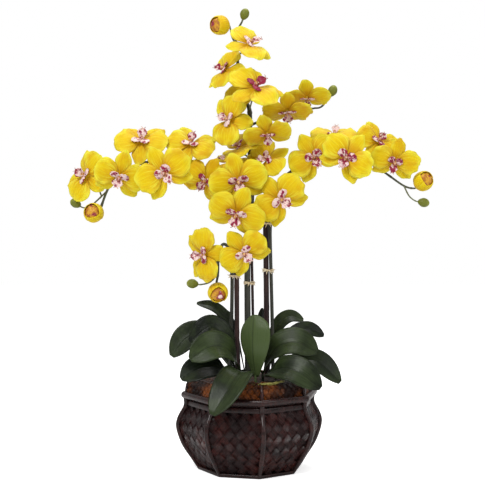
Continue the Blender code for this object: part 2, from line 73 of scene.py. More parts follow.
# Flower heads: node, centre in mm, span in mm, then turn, tilt and roll in degrees
BLOOMS = [
    ("bloom_left_1", (-274, -25, 491), 88, -30, 5, -122),
    ("bloom_left_2", (-213, -60, 488), 86, 0, -20, -16),
    ("bloom_left_3", (-139, -85, 492), 92, -5, -5, 28),
    ("bloom_left_4", (-181, -25, 549), 90, -5, 30, 178),
    ("bloom_left_5", (-98, -30, 544), 86, -10, 30, 160),
    ("bloom_left_6", (-73, -40, 482), 84, -20, -10, -32),
    ("bloom_mid_1", (-19, -85, 479), 92, 0, -15, 15),
    ("bloom_mid_2", (-34, -20, 516), 78, -20, 55, -85),
    ("bloom_mid_3", (-18, -30, 539), 74, -30, 50, -75),
    ("bloom_mid_4", (28, -37, 518), 76, -20, 30, -55),
    ("bloom_mid_5", (28, -68, 556), 80, 5, -52, 18),
    ("bloom_upper_right_1", (61, -45, 596), 82, 0, -55, 0),
    ("bloom_upper_right_2", (95, -28, 621), 78, 0, -58, 8),
    ("bloom_right_1", (105, -42, 521), 86, -5, 0, 32),
    ("bloom_right_2", (156, -75, 518), 88, -8, 0, -38),
    ("bloom_right_3", (143, 0, 561), 80, 0, 48, 178),
    ("bloom_right_4", (216, -10, 550), 78, 10, 15, 150),
    ("bloom_right_5", (239, -40, 514), 80, -5, -20, -12),
    ("bloom_top_1", (-1, -35, 709), 84, 20, 42, 100),
    ("bloom_top_2", (-42, -15, 670), 78, -40, 30, -92),
    ("bloom_top_3", (8, -77, 631), 92, 5, 38, 128),
    ("bloom_top_4", (-28, -12, 615), 66, -35, 20, -80),
    ("bloom_top_5", (-35, -55, 580), 84, -25, 10, -98),
    ("bloom_front_1", (48, -80, 450), 90, 5, -5, 42),
    ("bloom_front_2", (-22, -110, 426), 92, -10, -25, -25),
    ("bloom_front_3", (-10, -95, 364), 82, -5, -15, 37),
    ("bloom_front_4", (-75, -75, 360), 84, -30, -5, -84),
]
BLOOM_SPAN = 90.0
HUB_BACK = 4.0
STALK_RADIUS = 1.4
HEADS_ON_LEFT_STEM = ("bloom_front_4",)
HEADS_ON_RIGHT_STEM = ("bloom_right", "bloom_front_1")

HALF_OPEN = [
    ("half_open_bud_top", (-51, -15, 744), (-0.6, -0.7, -0.1), 0.0),
    ("half_open_bud_left", (-260, -30, 429), (-0.1, -0.85, 0.25), 40.0),
    ("half_open_bud_right", (289, -25, 482), (0.45, -0.75, 0.4), 80.0),
    ("half_open_bud_lower", (-53, -60, 298), (0.15, -0.9, -0.3), 20.0),
]
HALF_RADIUS = 17.0

# Stems: every branch is (points in mm, root radius, tip radius, bud at the end)
STEMS = {
    "stem_left": [
        ([(-34, -10, 122), (-31, -10, 243), (-30, -14, 332), (-33, -20, 366), (-45, -26, 377),
          (-52, -34, 356), (-53, -46, 328)], 3.5, 1.6, "half_open_bud_lower"),
        ([(-53, -46, 328), (-66, -46, 315)], 1.5, 1.1, ((-95, -40, 312), (-1.0, 0.1, 0.1))),
    ],
    "stem_middle": [
        ([(-3, -5, 122), (-4, -5, 258), (-4, -8, 351), (1, -8, 431), (3, -5, 468), (0, 0, 536),
          (0, 2, 596), (-5, 5, 615), (-19, 5, 627), (-27, 5, 645), (-21, 3, 677), (-21, 0, 695),
          (-24, 0, 717), (-19, 1, 742)], 5.6, 1.3, ((-9, -5, 765), (0.35, 0.0, 1.0))),
        ([(-24, 0, 717), (-30, -2, 727)], 1.5, 1.3, "half_open_bud_top"),
        ([(1, -8, 441), (-36, 0, 482), (-78, 0, 507), (-100, 0, 513), (-142, -5, 519),
          (-192, -10, 510), (-225, -15, 488), (-239, -20, 466)], 3.0, 1.8, "half_open_bud_left"),
        ([(-239, -20, 466), (-258, -8, 450), (-272, -6, 439)], 1.4, 1.1,
         ((-293, -10, 446), (-1.0, 0.1, 0.6))),
        ([(0, 1, 578), (22, 0, 587), (37, 0, 592), (69, 2, 597), (92, 2, 604), (108, 0, 607),
          (120, -2, 609)], 2.4, 1.2, ((139, -10, 635), (0.4, 0.0, 1.0))),
    ],
    "stem_right": [
        ([(39.5, 5, 122), (38, 5, 242), (34, 1, 410), (36.5, 0, 452), (50, 0, 479), (72, -2, 502),
          (104, -2, 522), (145, -2, 536), (173, -2, 533), (205, -5, 512), (228, -8, 497),
          (258, -15, 475)], 3.2, 1.4, "half_open_bud_right"),
        ([(258, -15, 475), (267, -14, 458)], 1.3, 1.0, ((291, -15, 447), (1.0, 0.0, -0.2))),
    ],
}
BUD_RADII = (8.0, 10.0)

# Leaves: centre line from foot to tip in mm, half width, roll of the blade in degrees
LEAVES = [
    ("leaf_back_left", [(-16, 20, 157), (-29, 25, 230), (-57, 25, 266), (-91, 22, 276)], 10, -50),
    ("leaf_back_small", [(-9, 35, 157), (-23, 40, 220), (-35, 41, 253), (-48, 40, 265)], 8, 0),
    ("leaf_upper_left", [(-25, -25, 158), (-40, -33, 218), (-66, -38, 241), (-99, -42, 216)], 19, -60),
    ("leaf_far_left", [(-29, 8, 157), (-64, 6, 214), (-102, 2, 222), (-132, -6, 188)], 22, -60),
    ("leaf_left_front", [(-15, -45, 160), (-34, -66, 204), (-62, -82, 213), (-96, -93, 193)], 23, -55),
    ("leaf_lower_left", [(-29, -34, 158), (-55, -50, 174), (-83, -62, 174), (-112, -72, 159)], 21, -50),
    ("leaf_front_drooping", [(-14, -62, 160), (-16, -87, 173), (-30, -115, 157), (-59, -138, 112)], 25, -10),
    ("leaf_front_upright", [(9, -56, 161), (4, -70, 203), (4, -69, 235), (6, -60, 262)], 27, 0),
    ("leaf_back_tip", [(15, 30, 157), (19, 32, 212), (21, 34, 243), (22, 36, 267)], 9, 0),
    ("leaf_right", [(21, -30, 159), (42, -38, 203), (74, -46, 216), (110, -52, 200)], 23, 55),
    ("leaf_back_right", [(32, 25, 157), (45, 30, 228), (67, 35, 252), (93, 40, 246)], 12, 50),
    ("leaf_far_right_back", [(45, 18, 156), (68, 18, 215), (97, 20, 232), (127, 24, 220)], 13, 55),
    ("leaf_right_front", [(21, -47, 159), (47, -71, 175), (77, -88, 173), (112, -98, 148)], 22, 50),
    ("leaf_far_right", [(43, -20, 156), (80, -22, 180), (114, -24, 180), (150, -26, 147)], 20, 50),
]
LEAF_STALK = (2.2, 26.0)

STAKES = [
    ("stake_left", (-21, -12, 121), (-22.5, -12, 350), 4.2),
    ("stake_middle", (8, -3, 121), (3, -3, 360), 2.4),
    ("stake_right", (30, 8, 121.5), (26.5, 8, 434), 4.6),
]
# Raffia ties: node, height, stake (x, y, radius), stem (x, y, radius)
TIES = [
    ("tie_left", 324, (-22.3, -12, 4.2), (-30.2, -13.6, 2.6)),
    ("tie_middle", 312, (4.0, -3, 2.4), (-4.1, -6.8, 4.8)),
    ("tie_right_lower", 333, (27.6, 8, 4.6), (35.8, 2.8, 2.9)),
    ("tie_right_upper", 412, (26.8, 8, 4.6), (34.1, 0.9, 2.7)),
]

# Pot: corner radius and height up the outside of the basket, mm
POT_SIDES = 8
POT_TURN = 9.8
POT_PROFILE = [(81.7, 0.0), (82.5, 7.0), (95.0, 22.0), (110.0, 46.0), (118.5, 72.0),
               (116.0, 88.0), (106.0, 107.0), (103.0, 114.0), (106.0, 121.0),
               (106.0, 131.0), (103.5, 144.0), (97.0, 148.5), (84.0, 152.0), (76.0, 153.5)]
MOSS = [(-4, -85, 152.5), (12, -88, 151.5), (30, -85, 152.0), (45, -77, 153.5), (54, -68, 155.0)]


# ------------------------------------------------------------------ settings
def colour_setting(label, description, default):
    """Colour setting, linear red, green and blue."""
    return FloatVectorProperty(name=label, description=description, subtype="COLOR", min=0, max=1,
                               default=default)


class PetalSettings(bpy.types.PropertyGroup):
    """Colours and edge ruffle of the silk petals"""
    body: colour_setting("Body", "Main yellow of the petals", (0.72, 0.525, 0.0005))
    edge: colour_setting("Edge", "Lemon colour along the petal edges", (0.80, 0.78, 0.055))
    # the heart colour also paints the soft orange patches of painted shade on the petals
    heart: colour_setting("Heart", "Orange shading around the middle", (0.62, 0.29, 0.0005))
    vein: colour_setting("Vein", "Fine lines that run from the middle", (0.54, 0.27, 0.0005))
    ruffle: FloatProperty(name="Ruffle", description="Height of the waves along the petal edge",
                          unit="LENGTH", default=3.2 * MM, min=0)


class LipSettings(bpy.types.PropertyGroup):
    """Colours of the lip and column"""
    pale: colour_setting("Pale", "Pink-white of the lobes", (0.82, 0.62, 0.58))
    magenta: colour_setting("Magenta", "Blotches on the lobes", (0.26, 0.008, 0.040))


class GreenSettings(bpy.types.PropertyGroup):
    """Colours of leaves, stems and buds"""
    leaf: colour_setting("Leaf", "Dark green of the leaves", (0.0035, 0.0062, 0.0025))
    # the Leaf bloom colour is painted sheen, the gloss of the upper faces
    leaf_sheen_painted: colour_setting("Leaf bloom", "Greyed green on the upper faces",
                              (0.056, 0.082, 0.028))
    stem: colour_setting("Stem", "Near-black green of the old stem", (0.020, 0.023, 0.016))
    stem_tip: colour_setting("Stem tip", "Grey green of the young stalks", (0.16, 0.18, 0.085))
    bud: colour_setting("Bud", "Olive green of the closed buds", (0.145, 0.165, 0.018))


class PotSettings(bpy.types.PropertyGroup):
    """Sizes and colours of the basket pot"""
    strip_pitch: FloatProperty(name="Strip pitch", description="Spacing of the plaited strips",
                               unit="LENGTH", default=14.0 * MM, min=5 * MM)
    weave: colour_setting("Weave", "Dark stain of the strips", (0.026, 0.008, 0.008))
    # the weave cuts this red back where the strips dip under, as painted shade
    red: colour_setting("Red stain", "Redder stain where it is rubbed", (0.150, 0.030, 0.022))
    collar: colour_setting("Collar", "Orange brown of the collar weave", (0.74, 0.20, 0.030))


class StageSettings(bpy.types.PropertyGroup):
    """Camera and floor"""
    lens: FloatProperty(name="Lens", description="Focal length", unit="CAMERA", default=72.4, min=10)
    distance: FloatProperty(name="Distance", description="Camera distance from the pot's axis",
                            unit="LENGTH", default=1.65, min=0.5)
    height: FloatProperty(name="Height", description="Camera height", unit="LENGTH", default=0.380)


# ------------------------------------------------------------------ mesh helpers
def only(obj):
    """Leave one object selected and active, in object mode."""
    if bpy.context.mode != "OBJECT":
        bpy.ops.object.mode_set(mode="OBJECT")
    bpy.ops.object.select_all(action="DESELECT")
    obj.select_set(True)
    bpy.context.view_layer.objects.active = obj
    return obj


def fresh(name):
    """Name the primitive just added and return it."""
    obj = bpy.context.object
    obj.name = name
    obj.data.name = name
    return obj


def select_vertices(obj, test):
    """In edit mode, select the vertices whose index and place pass a test."""
    bm = bmesh.from_edit_mesh(obj.data)
    for vert in bm.verts:
        vert.select_set(test(vert.index, vert.co))
    bm.select_flush_mode()
    bmesh.update_edit_mesh(obj.data)


def modify(obj, kind, **values):
    """Add a modifier, set its values and apply it."""
    only(obj)
    mod = obj.modifiers.new(kind.title(), kind)
    for key, value in values.items():
        setattr(mod, key, value)
    bpy.ops.object.modifier_apply(modifier=mod.name)
    return obj


def subdivide(obj, levels):
    """Round a mesh with a subdivision surface."""
    return modify(obj, "SUBSURF", levels=levels, render_levels=levels)


def smooth(obj, angle=None):
    """Shade smooth, all over or up to an angle in degrees."""
    only(obj)
    if angle is None:
        bpy.ops.object.shade_smooth()
    else:
        bpy.ops.object.shade_smooth_by_angle(angle=math.radians(angle))
    return obj


def bake(obj, matrix):
    """Put a placement into the mesh itself, so that the object stays at the origin."""
    obj.data.transform(matrix)
    obj.data.update()
    return obj


def to_metres(obj):
    """Shrink a piece modelled in millimetres."""
    return bake(obj, Matrix.Diagonal((MM, MM, MM, 1)))


def mesh_object(name, verts, faces):
    """New object from corner places and faces."""
    mesh = bpy.data.meshes.new(name)
    mesh.from_pydata(verts, [], faces)
    obj = bpy.data.objects.new(name, mesh)
    bpy.context.scene.collection.objects.link(obj)
    return obj


def clouds(name, size):
    """Soft cloud pattern that displaces a surface."""
    texture = bpy.data.textures.new(name, "CLOUDS")
    texture.noise_scale = size
    return texture


def cad_node(name):
    """The frame's own object for a node."""
    return next(obj for obj in bpy.data.objects if obj.name.startswith(name))


def copy_of(master, name):
    """Copy with its own mesh."""
    obj = bpy.data.objects.new(name, master.data.copy())
    obj.data.name = name
    bpy.context.scene.collection.objects.link(obj)
    return obj


def join(objects, name):
    """Join several pieces into one."""
    only(objects[0])
    for obj in objects[1:]:
        obj.select_set(True)
    bpy.ops.object.join()
    return fresh(name)


def drop(*objects):
    """Remove masters that are done with."""
    for obj in objects:
        bpy.data.objects.remove(obj, do_unlink=True)


def dress(obj, mat):
    """Give an object one material."""
    obj.data.materials.clear()
    obj.data.materials.append(mat)


def finish_piece(obj, node, mat):
    """Give a piece its material, hang it on the root body, and hide the frame's node that it stands for, if
    any.
    """
    dress(obj, mat)
    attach(obj, "root")
    if node:
        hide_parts(node)
    return obj


def set_point_attribute(obj, name, values):
    """Store one number for every vertex."""
    layer = obj.data.attributes.new(name, "FLOAT", "POINT")
    layer.data.foreach_set("value", values)


def grid_sheet(name, columns, rows):
    """Flat grid whose cross rows are then widened, slid and lifted, one after another.

    rows holds (reach, half width, rise) from foot to tip.
    """
    bpy.ops.object.select_all(action="DESELECT")
    bpy.ops.mesh.primitive_grid_add(x_subdivisions=columns, y_subdivisions=len(rows) - 1,
                                    size=2.0, calc_uvs=True, location=(0, 0, 0))
    obj = fresh(name)
    width = columns + 1
    bpy.ops.object.mode_set(mode="EDIT")
    for k, (reach, half, rise) in enumerate(rows):
        place = -1.0 + 2.0 * k / (len(rows) - 1)
        select_vertices(obj, lambda i, co: i // width == k)
        bpy.ops.transform.resize(value=(half, 1.0, 1.0), center_override=(0.0, place, 0.0))
        bpy.ops.transform.translate(value=(0.0, reach - place, rise))
    bpy.ops.object.mode_set(mode="OBJECT")
    return obj


def dish_columns(obj, columns, drops):
    """Lower the columns on each side of the midrib by the given amounts, middle first."""
    width = columns + 1
    middle = columns // 2
    only(obj)
    bpy.ops.object.mode_set(mode="EDIT")
    for step, amount in enumerate(drops):
        last = len(obj.data.vertices) // width - 1
        select_vertices(obj, lambda i, co: abs(i % width - middle) == step and 0 < i // width < last)
        bpy.ops.transform.translate(value=(0.0, 0.0, -amount))
    bpy.ops.object.mode_set(mode="OBJECT")
    return obj


def ruffle(obj, columns, strength, size, seed):
    """Wave the side edges with a soft cloud pattern."""
    width = columns + 1
    middle = columns / 2
    group = obj.vertex_groups.new(name="edge")
    rows = len(obj.data.vertices) // width
    for vert in obj.data.vertices:
        across = abs(vert.index % width - middle) / middle
        along = (vert.index // width) / (rows - 1)
        group.add([vert.index], (across ** 2) * min(1.0, along * 2.0), "REPLACE")
    texture = clouds("ruffle", size)
    texture.noise_depth = 1
    for vert in obj.data.vertices:
        vert.co.x += seed * 100.0
    modify(obj, "DISPLACE", texture=texture, strength=strength * 5.5, mid_level=0.5,
           direction="Z", texture_coords="LOCAL", vertex_group="edge")
    for way in ("X", "Y"):
        texture.noise_scale = size * (0.7 if way == "X" else 0.9)
        modify(obj, "DISPLACE", texture=texture, strength=strength * 3.2, mid_level=0.5,
               direction=way, texture_coords="LOCAL", vertex_group="edge")
    for vert in obj.data.vertices:
        vert.co.x -= seed * 100.0
    obj.vertex_groups.clear()
    return obj


def spline(points, steps):
    """Smooth curve through the points with a number of steps per span."""
    pts = [Vector(p) for p in points]
    ext = [pts[0] * 2 - pts[1]] + pts + [pts[-1] * 2 - pts[-2]]
    out = []
    for i in range(len(pts) - 1):
        a, b, c, d = ext[i:i + 4]
        for s in range(steps):
            t = s / steps
            out.append(0.5 * (2 * b + (c - a) * t + (2 * a - 5 * b + 4 * c - d) * t * t
                              + (3 * b - a - 3 * c + d) * t * t * t))
    out.append(pts[-1])
    return out


def bar(name, points, radii, closed=False, sides=3):
    """Round bar of changing thickness: a curve with a bevel, made into a mesh."""
    curve = bpy.data.curves.new(name, "CURVE")
    curve.dimensions = "3D"
    curve.bevel_depth = 1.0
    curve.bevel_resolution = sides
    curve.use_fill_caps = not closed
    line = curve.splines.new("POLY")
    line.points.add(len(points) - 1)
    for point, place, radius in zip(line.points, points, radii):
        point.co = (*place, 1.0)
        point.radius = radius
    line.use_cyclic_u = closed
    obj = bpy.data.objects.new(name, curve)
    bpy.context.scene.collection.objects.link(obj)
    only(obj)
    bpy.ops.object.convert(target="MESH")
    bpy.ops.object.mode_set(mode="EDIT")
    bpy.ops.mesh.select_all(action="SELECT")
    bpy.ops.mesh.remove_doubles(threshold=0.001)
    bpy.ops.mesh.normals_make_consistent(inside=False)
    bpy.ops.object.mode_set(mode="OBJECT")
    return smooth(fresh(name), 60)


def facing(turn, tilt, roll):
    """Rotation of a head: turned about the vertical, tilted up, rolled in its own plane."""
    a = math.radians(turn)
    b = math.radians(tilt)
    normal = Vector((math.sin(a) * math.cos(b), -math.cos(a) * math.cos(b), math.sin(b)))
    up = Vector((-math.sin(a) * math.sin(b), math.cos(a) * math.sin(b), math.cos(b)))
    right = up.cross(normal)
    c = math.radians(roll)
    up_rolled = up * math.cos(c) - right * math.sin(c)
    right_rolled = right * math.cos(c) + up * math.sin(c)
    return Matrix((right_rolled, up_rolled, normal)).transposed()


def along_axis(axis, spin=0.0):
    """Rotation that turns +Z onto an axis."""
    return Vector(axis).normalized().to_track_quat("Z", "Y").to_matrix() @ Matrix.Rotation(
        math.radians(spin), 3, "Z")


# ------------------------------------------------------------------ material helpers
class Nodes:
    """Short hand for placing and wiring shader nodes."""

    def __init__(self, tree):
        self.tree = tree

    def add(self, kind, **values):
        node = self.tree.nodes.new(kind)
        for key, value in values.items():
            setattr(node, key, value)
        return node

    def wire(self, source, target):
        self.tree.links.new(source, target)

    def put(self, socket, value):
        if isinstance(value, bpy.types.NodeSocket):
            self.wire(value, socket)
        elif hasattr(value, "__len__") and len(value) == 3 and len(socket.default_value) == 4:
            socket.default_value = (*value, 1.0)
        else:
            socket.default_value = value

    def noise(self, vector, scale, detail=3.0, rough=0.55, distort=0.0):
        node = self.add("ShaderNodeTexNoise")
        self.wire(vector, node.inputs["Vector"])
        node.inputs["Scale"].default_value = scale
        node.inputs["Detail"].default_value = detail
        node.inputs["Roughness"].default_value = rough
        node.inputs["Distortion"].default_value = distort
        return node.outputs["Fac"]

    def stretch(self, vector, scale, location=(0, 0, 0)):
        node = self.add("ShaderNodeMapping")
        self.wire(vector, node.inputs["Vector"])
        node.inputs["Scale"].default_value = scale
        node.inputs["Location"].default_value = location
        return node.outputs["Vector"]

    def ramp(self, value, low, high, out_low=0.0, out_high=1.0):
        node = self.add("ShaderNodeMapRange", interpolation_type="SMOOTHSTEP")
        self.put(node.inputs["Value"], value)
        node.inputs["From Min"].default_value = low
        node.inputs["From Max"].default_value = high
        node.inputs["To Min"].default_value = out_low
        node.inputs["To Max"].default_value = out_high
        return node.outputs["Result"]

    def maths(self, operation, a, b=0.0, c=0.0):
        node = self.add("ShaderNodeMath", operation=operation)
        for socket, value in zip(node.inputs, (a, b, c)):
            self.put(socket, value)
        return node.outputs[0]

    def mix(self, amount, a, b):
        """Blend of two colours; sockets 6 and 7 are the colour inputs of the node."""
        node = self.add("ShaderNodeMix", data_type="RGBA")
        self.put(node.inputs["Factor"], amount)
        self.put(node.inputs[6], a)
        self.put(node.inputs[7], b)
        return node.outputs[2]

    def bump(self, height, distance, strength=1.0):
        node = self.add("ShaderNodeBump")
        self.put(node.inputs["Height"], height)
        node.inputs["Distance"].default_value = distance
        node.inputs["Strength"].default_value = strength
        return node.outputs["Normal"]

    def group(self, tree, **values):
        node = self.add("ShaderNodeGroup")
        node.node_tree = tree
        for key, value in values.items():
            self.put(node.inputs[key], value)
        return node


def new_material(name):
    """Principled material: returns it with its node helper and shader."""
    mat = bpy.data.materials.new(name)
    mat.use_nodes = True
    return mat, Nodes(mat.node_tree), mat.node_tree.nodes["Principled BSDF"]


def object_place(n):
    """Object coordinates."""
    return n.add("ShaderNodeTexCoord").outputs["Object"]


def sheet_place(n):
    """UV coordinates of a sheet."""
    return n.add("ShaderNodeTexCoord").outputs["UV"]


def sheet_axes(n):
    """The two UV axes of a sheet, apart."""
    parts = n.add("ShaderNodeSeparateXYZ")
    n.wire(sheet_place(n), parts.inputs[0])
    return parts.outputs["X"], parts.outputs["Y"]


def new_group(name, inputs, outputs):
    """Node group with named sockets; inputs and outputs are (name, kind, default)."""
    tree = bpy.data.node_groups.new(name, "ShaderNodeTree")
    for label, kind, default in inputs:
        socket = tree.interface.new_socket(label, in_out="INPUT", socket_type=kind)
        if default is not None:
            socket.default_value = default
    for label, kind in outputs:
        tree.interface.new_socket(label, in_out="OUTPUT", socket_type=kind)
    n = Nodes(tree)
    return tree, n, n.add("NodeGroupInput").outputs, n.add("NodeGroupOutput").inputs


def group_cloth():
    """Fine over-and-under threads of a woven cloth, as a height."""
    tree, n, given, out = new_group("Cloth Threads", [("Vector", "NodeSocketVector", None),
                                                      ("Threads", "NodeSocketFloat", 900.0)],
                                    [("Height", "NodeSocketFloat")])
    parts = n.add("ShaderNodeSeparateXYZ")
    n.wire(given["Vector"], parts.inputs[0])
    sines = []
    for axis in ("X", "Y", "Z"):
        turned = n.maths("MULTIPLY", parts.outputs[axis], given["Threads"])
        sines.append(n.maths("SINE", turned))
    both = n.maths("MULTIPLY", sines[0], sines[2])
    n.wire(n.maths("ADD", both, n.maths("MULTIPLY", sines[1], 0.3)), out["Height"])
    return tree


def group_mottle():
    """Uneven mottle: large soft clouds and small flecks, as a mask about one half; it shapes dye, and also
    the painted shade on the petals and the painted sheen on the leaves.
    """
    tree, n, given, out = new_group("Dye Mottle", [("Vector", "NodeSocketVector", None)],
                                    [("Clouds", "NodeSocketFloat"), ("Flecks", "NodeSocketFloat")])
    n.wire(n.noise(given["Vector"], 26.0, 3.0, 0.6), out["Clouds"])
    n.wire(n.noise(given["Vector"], 420.0, 2.0, 0.7), out["Flecks"])
    return tree


def group_fibre():
    """Long fibres or grain along one axis of the given vector, as a mask."""
    tree, n, given, out = new_group("Fibre Grain", [("Vector", "NodeSocketVector", None)],
                                    [("Grain", "NodeSocketFloat")])
    fine = n.noise(given["Vector"], 1.0, 5.0, 0.65)
    broad = n.noise(given["Vector"], 0.35, 2.0, 0.5)
    n.wire(n.maths("ADD", n.maths("MULTIPLY", fine, 0.65), n.maths("MULTIPLY", broad, 0.35)),
           out["Grain"])
    return tree


def petal_material(groups, tone, strength):
    """Silk petal: lemon edge, yellow body, orange heart and fine veins that fan outwards, with pale streaks
    of painted highlight and soft orange patches of painted shade.
    """
    s = bpy.context.scene.orchid_petal
    mat, n, shader = new_material("petal_silk")
    across, along = sheet_axes(n)
    place = object_place(n)
    mottle = n.group(groups["mottle"], Vector=place)
    clouds, flecks = mottle.outputs["Clouds"], mottle.outputs["Flecks"]
    side = n.maths("ABSOLUTE", n.maths("SUBTRACT", across, 0.5))
    rim = n.maths("MAXIMUM", n.ramp(side, 0.20, 0.50), n.ramp(along, 0.60, 0.98))
    rim = n.maths("MULTIPLY", rim, n.ramp(clouds, 0.30, 0.58, 0.30, 1.0))
    colour = n.mix(rim, tuple(s.body), tuple(s.edge))
    heart = n.ramp(n.maths("ADD", along, n.maths("MULTIPLY", n.maths("SUBTRACT", clouds, 0.5), 0.5)),
                   0.05, 0.60, 1.0, 0.0)
    colour = n.mix(n.maths("MULTIPLY", heart, 0.85), colour, tuple(s.heart))
    fan = n.stretch(sheet_place(n), (46.0, 2.2, 1.0))
    lines = n.ramp(n.noise(fan, 1.0, 2.0, 0.5, 0.3), 0.50, 0.66)
    lines = n.maths("MULTIPLY", lines, n.ramp(along, 0.15, 0.95, 0.60, 0.22))
    colour = n.mix(lines, colour, tuple(s.vein))
    # pale lemon streaks along the petal: painted highlight on the wire ridges
    slivers = n.stretch(sheet_place(n), (30.0, 1.6, 1.0), (3.0, 1.0, 0.0))
    painted_highlight_streaks = n.ramp(n.noise(slivers, 1.0, 2.0, 0.5), 0.54, 0.70)
    colour = n.mix(n.maths("MULTIPLY", painted_highlight_streaks, 0.75), colour, tuple(s.edge))
    # soft orange patches from the clouds: painted shade over the petal
    colour = n.mix(n.ramp(clouds, 0.50, 0.68, 0.0, 0.60), colour, tuple(s.heart))
    shade = n.add("ShaderNodeAttribute", attribute_name="dye")
    colour = n.mix(n.maths("MULTIPLY", shade.outputs["Fac"], strength), colour, tone)
    colour = n.mix(n.ramp(flecks, 0.55, 0.75, 0.0, 0.12), colour, tuple(s.vein))
    n.wire(colour, shader.inputs["Base Color"])
    n.wire(n.ramp(flecks, 0.3, 0.7, 0.48, 0.66), shader.inputs["Roughness"])
    threads = n.group(groups["cloth"], Vector=place, Threads=3600.0)
    crease = n.maths("MULTIPLY", n.noise(fan, 1.0, 2.0, 0.5, 0.3), 2.2)
    height = n.maths("ADD", n.maths("MULTIPLY", threads.outputs["Height"], 0.10), crease)
    n.wire(n.bump(height, 0.0004, 0.8), shader.inputs["Normal"])
    shader.inputs["Sheen Weight"].default_value = 0.06
    shader.inputs["Sheen Roughness"].default_value = 0.45
    shader.inputs["Specular IOR Level"].default_value = 0.15
    shader.inputs["Subsurface Weight"].default_value = 0.15
    shader.inputs["Subsurface Radius"].default_value = (0.9, 0.7, 0.05)
    shader.inputs["Subsurface Scale"].default_value = 0.004
    return mat


def lip_material():
    """Moulded lip: pink-white lobes with wine blotches, stripes, freckles and a gold throat."""
    s = bpy.context.scene.orchid_lip
    mat, n, shader = new_material("lip_moulded")
    _across, along = sheet_axes(n)
    place = object_place(n)
    blotch = n.noise(place, 150.0, 1.0, 0.5)
    deep = n.add("ShaderNodeAttribute", attribute_name="dye").outputs["Fac"]
    stripes = n.noise(n.stretch(sheet_place(n), (16.0, 1.6, 1.0)), 1.0, 1.0, 0.5, 0.4)
    mask = n.maths("ADD", n.maths("MULTIPLY", blotch, 1.0), n.maths("MULTIPLY", stripes, 0.55))
    mask = n.maths("ADD", mask, n.maths("MULTIPLY", deep, 0.45))
    mask = n.ramp(mask, 0.80, 0.90)
    dots = n.ramp(n.noise(place, 900.0, 1.0, 0.5), 0.62, 0.70)
    mask = n.maths("MAXIMUM", mask, n.maths("MULTIPLY", dots, 0.85))
    colour = n.mix(mask, tuple(s.pale), tuple(s.magenta))
    throat = n.maths("MULTIPLY", n.ramp(along, 0.0, 0.34, 1.0, 0.0), n.ramp(stripes, 0.44, 0.60, 1.0, 0.15))
    colour = n.mix(throat, colour, (0.62, 0.25, 0.02))
    n.wire(colour, shader.inputs["Base Color"])
    n.wire(n.ramp(blotch, 0.3, 0.7, 0.38, 0.58), shader.inputs["Roughness"])
    n.wire(n.bump(blotch, 0.0006, 0.6), shader.inputs["Normal"])
    shader.inputs["Specular IOR Level"].default_value = 0.3
    shader.inputs["Subsurface Weight"].default_value = 0.10
    shader.inputs["Subsurface Scale"].default_value = 0.002
    return mat


def column_material():
    """Column and throat: waxy gold going to pink-white, with wine freckles."""
    s = bpy.context.scene.orchid_lip
    mat, n, shader = new_material("column_waxy")
    place = object_place(n)
    clouds = n.noise(place, 260.0, 2.0, 0.6)
    colour = n.mix(n.ramp(clouds, 0.40, 0.60), (0.60, 0.34, 0.03), (0.70, 0.45, 0.42))
    freckles = n.ramp(n.noise(place, 620.0, 1.0, 0.5), 0.50, 0.60)
    colour = n.mix(freckles, colour, tuple(s.magenta))
    n.wire(colour, shader.inputs["Base Color"])
    n.wire(n.ramp(clouds, 0.3, 0.7, 0.3, 0.45), shader.inputs["Roughness"])
    n.wire(n.bump(clouds, 0.0004, 0.5), shader.inputs["Normal"])
    return mat


def heart_material():
    """Folded inside of a half-open bud: orange with wine blotches."""
    s = bpy.context.scene.orchid_lip
    mat, n, shader = new_material("bud_heart")
    place = object_place(n)
    clouds = n.noise(place, 120.0, 2.0, 0.6)
    colour = n.mix(n.ramp(clouds, 0.40, 0.60), (0.60, 0.30, 0.008), (0.40, 0.14, 0.005))
    blotch = n.noise(place, 75.0, 2.0, 0.6, 0.6)
    colour = n.mix(n.ramp(blotch, 0.56, 0.62), colour, tuple(s.magenta))
    colour = n.mix(n.ramp(blotch, 0.69, 0.73), colour, tuple(s.pale))
    n.wire(colour, shader.inputs["Base Color"])
    n.wire(n.ramp(clouds, 0.3, 0.7, 0.45, 0.65), shader.inputs["Roughness"])
    n.wire(n.bump(clouds, 0.0015, 1.0), shader.inputs["Normal"])
    return mat


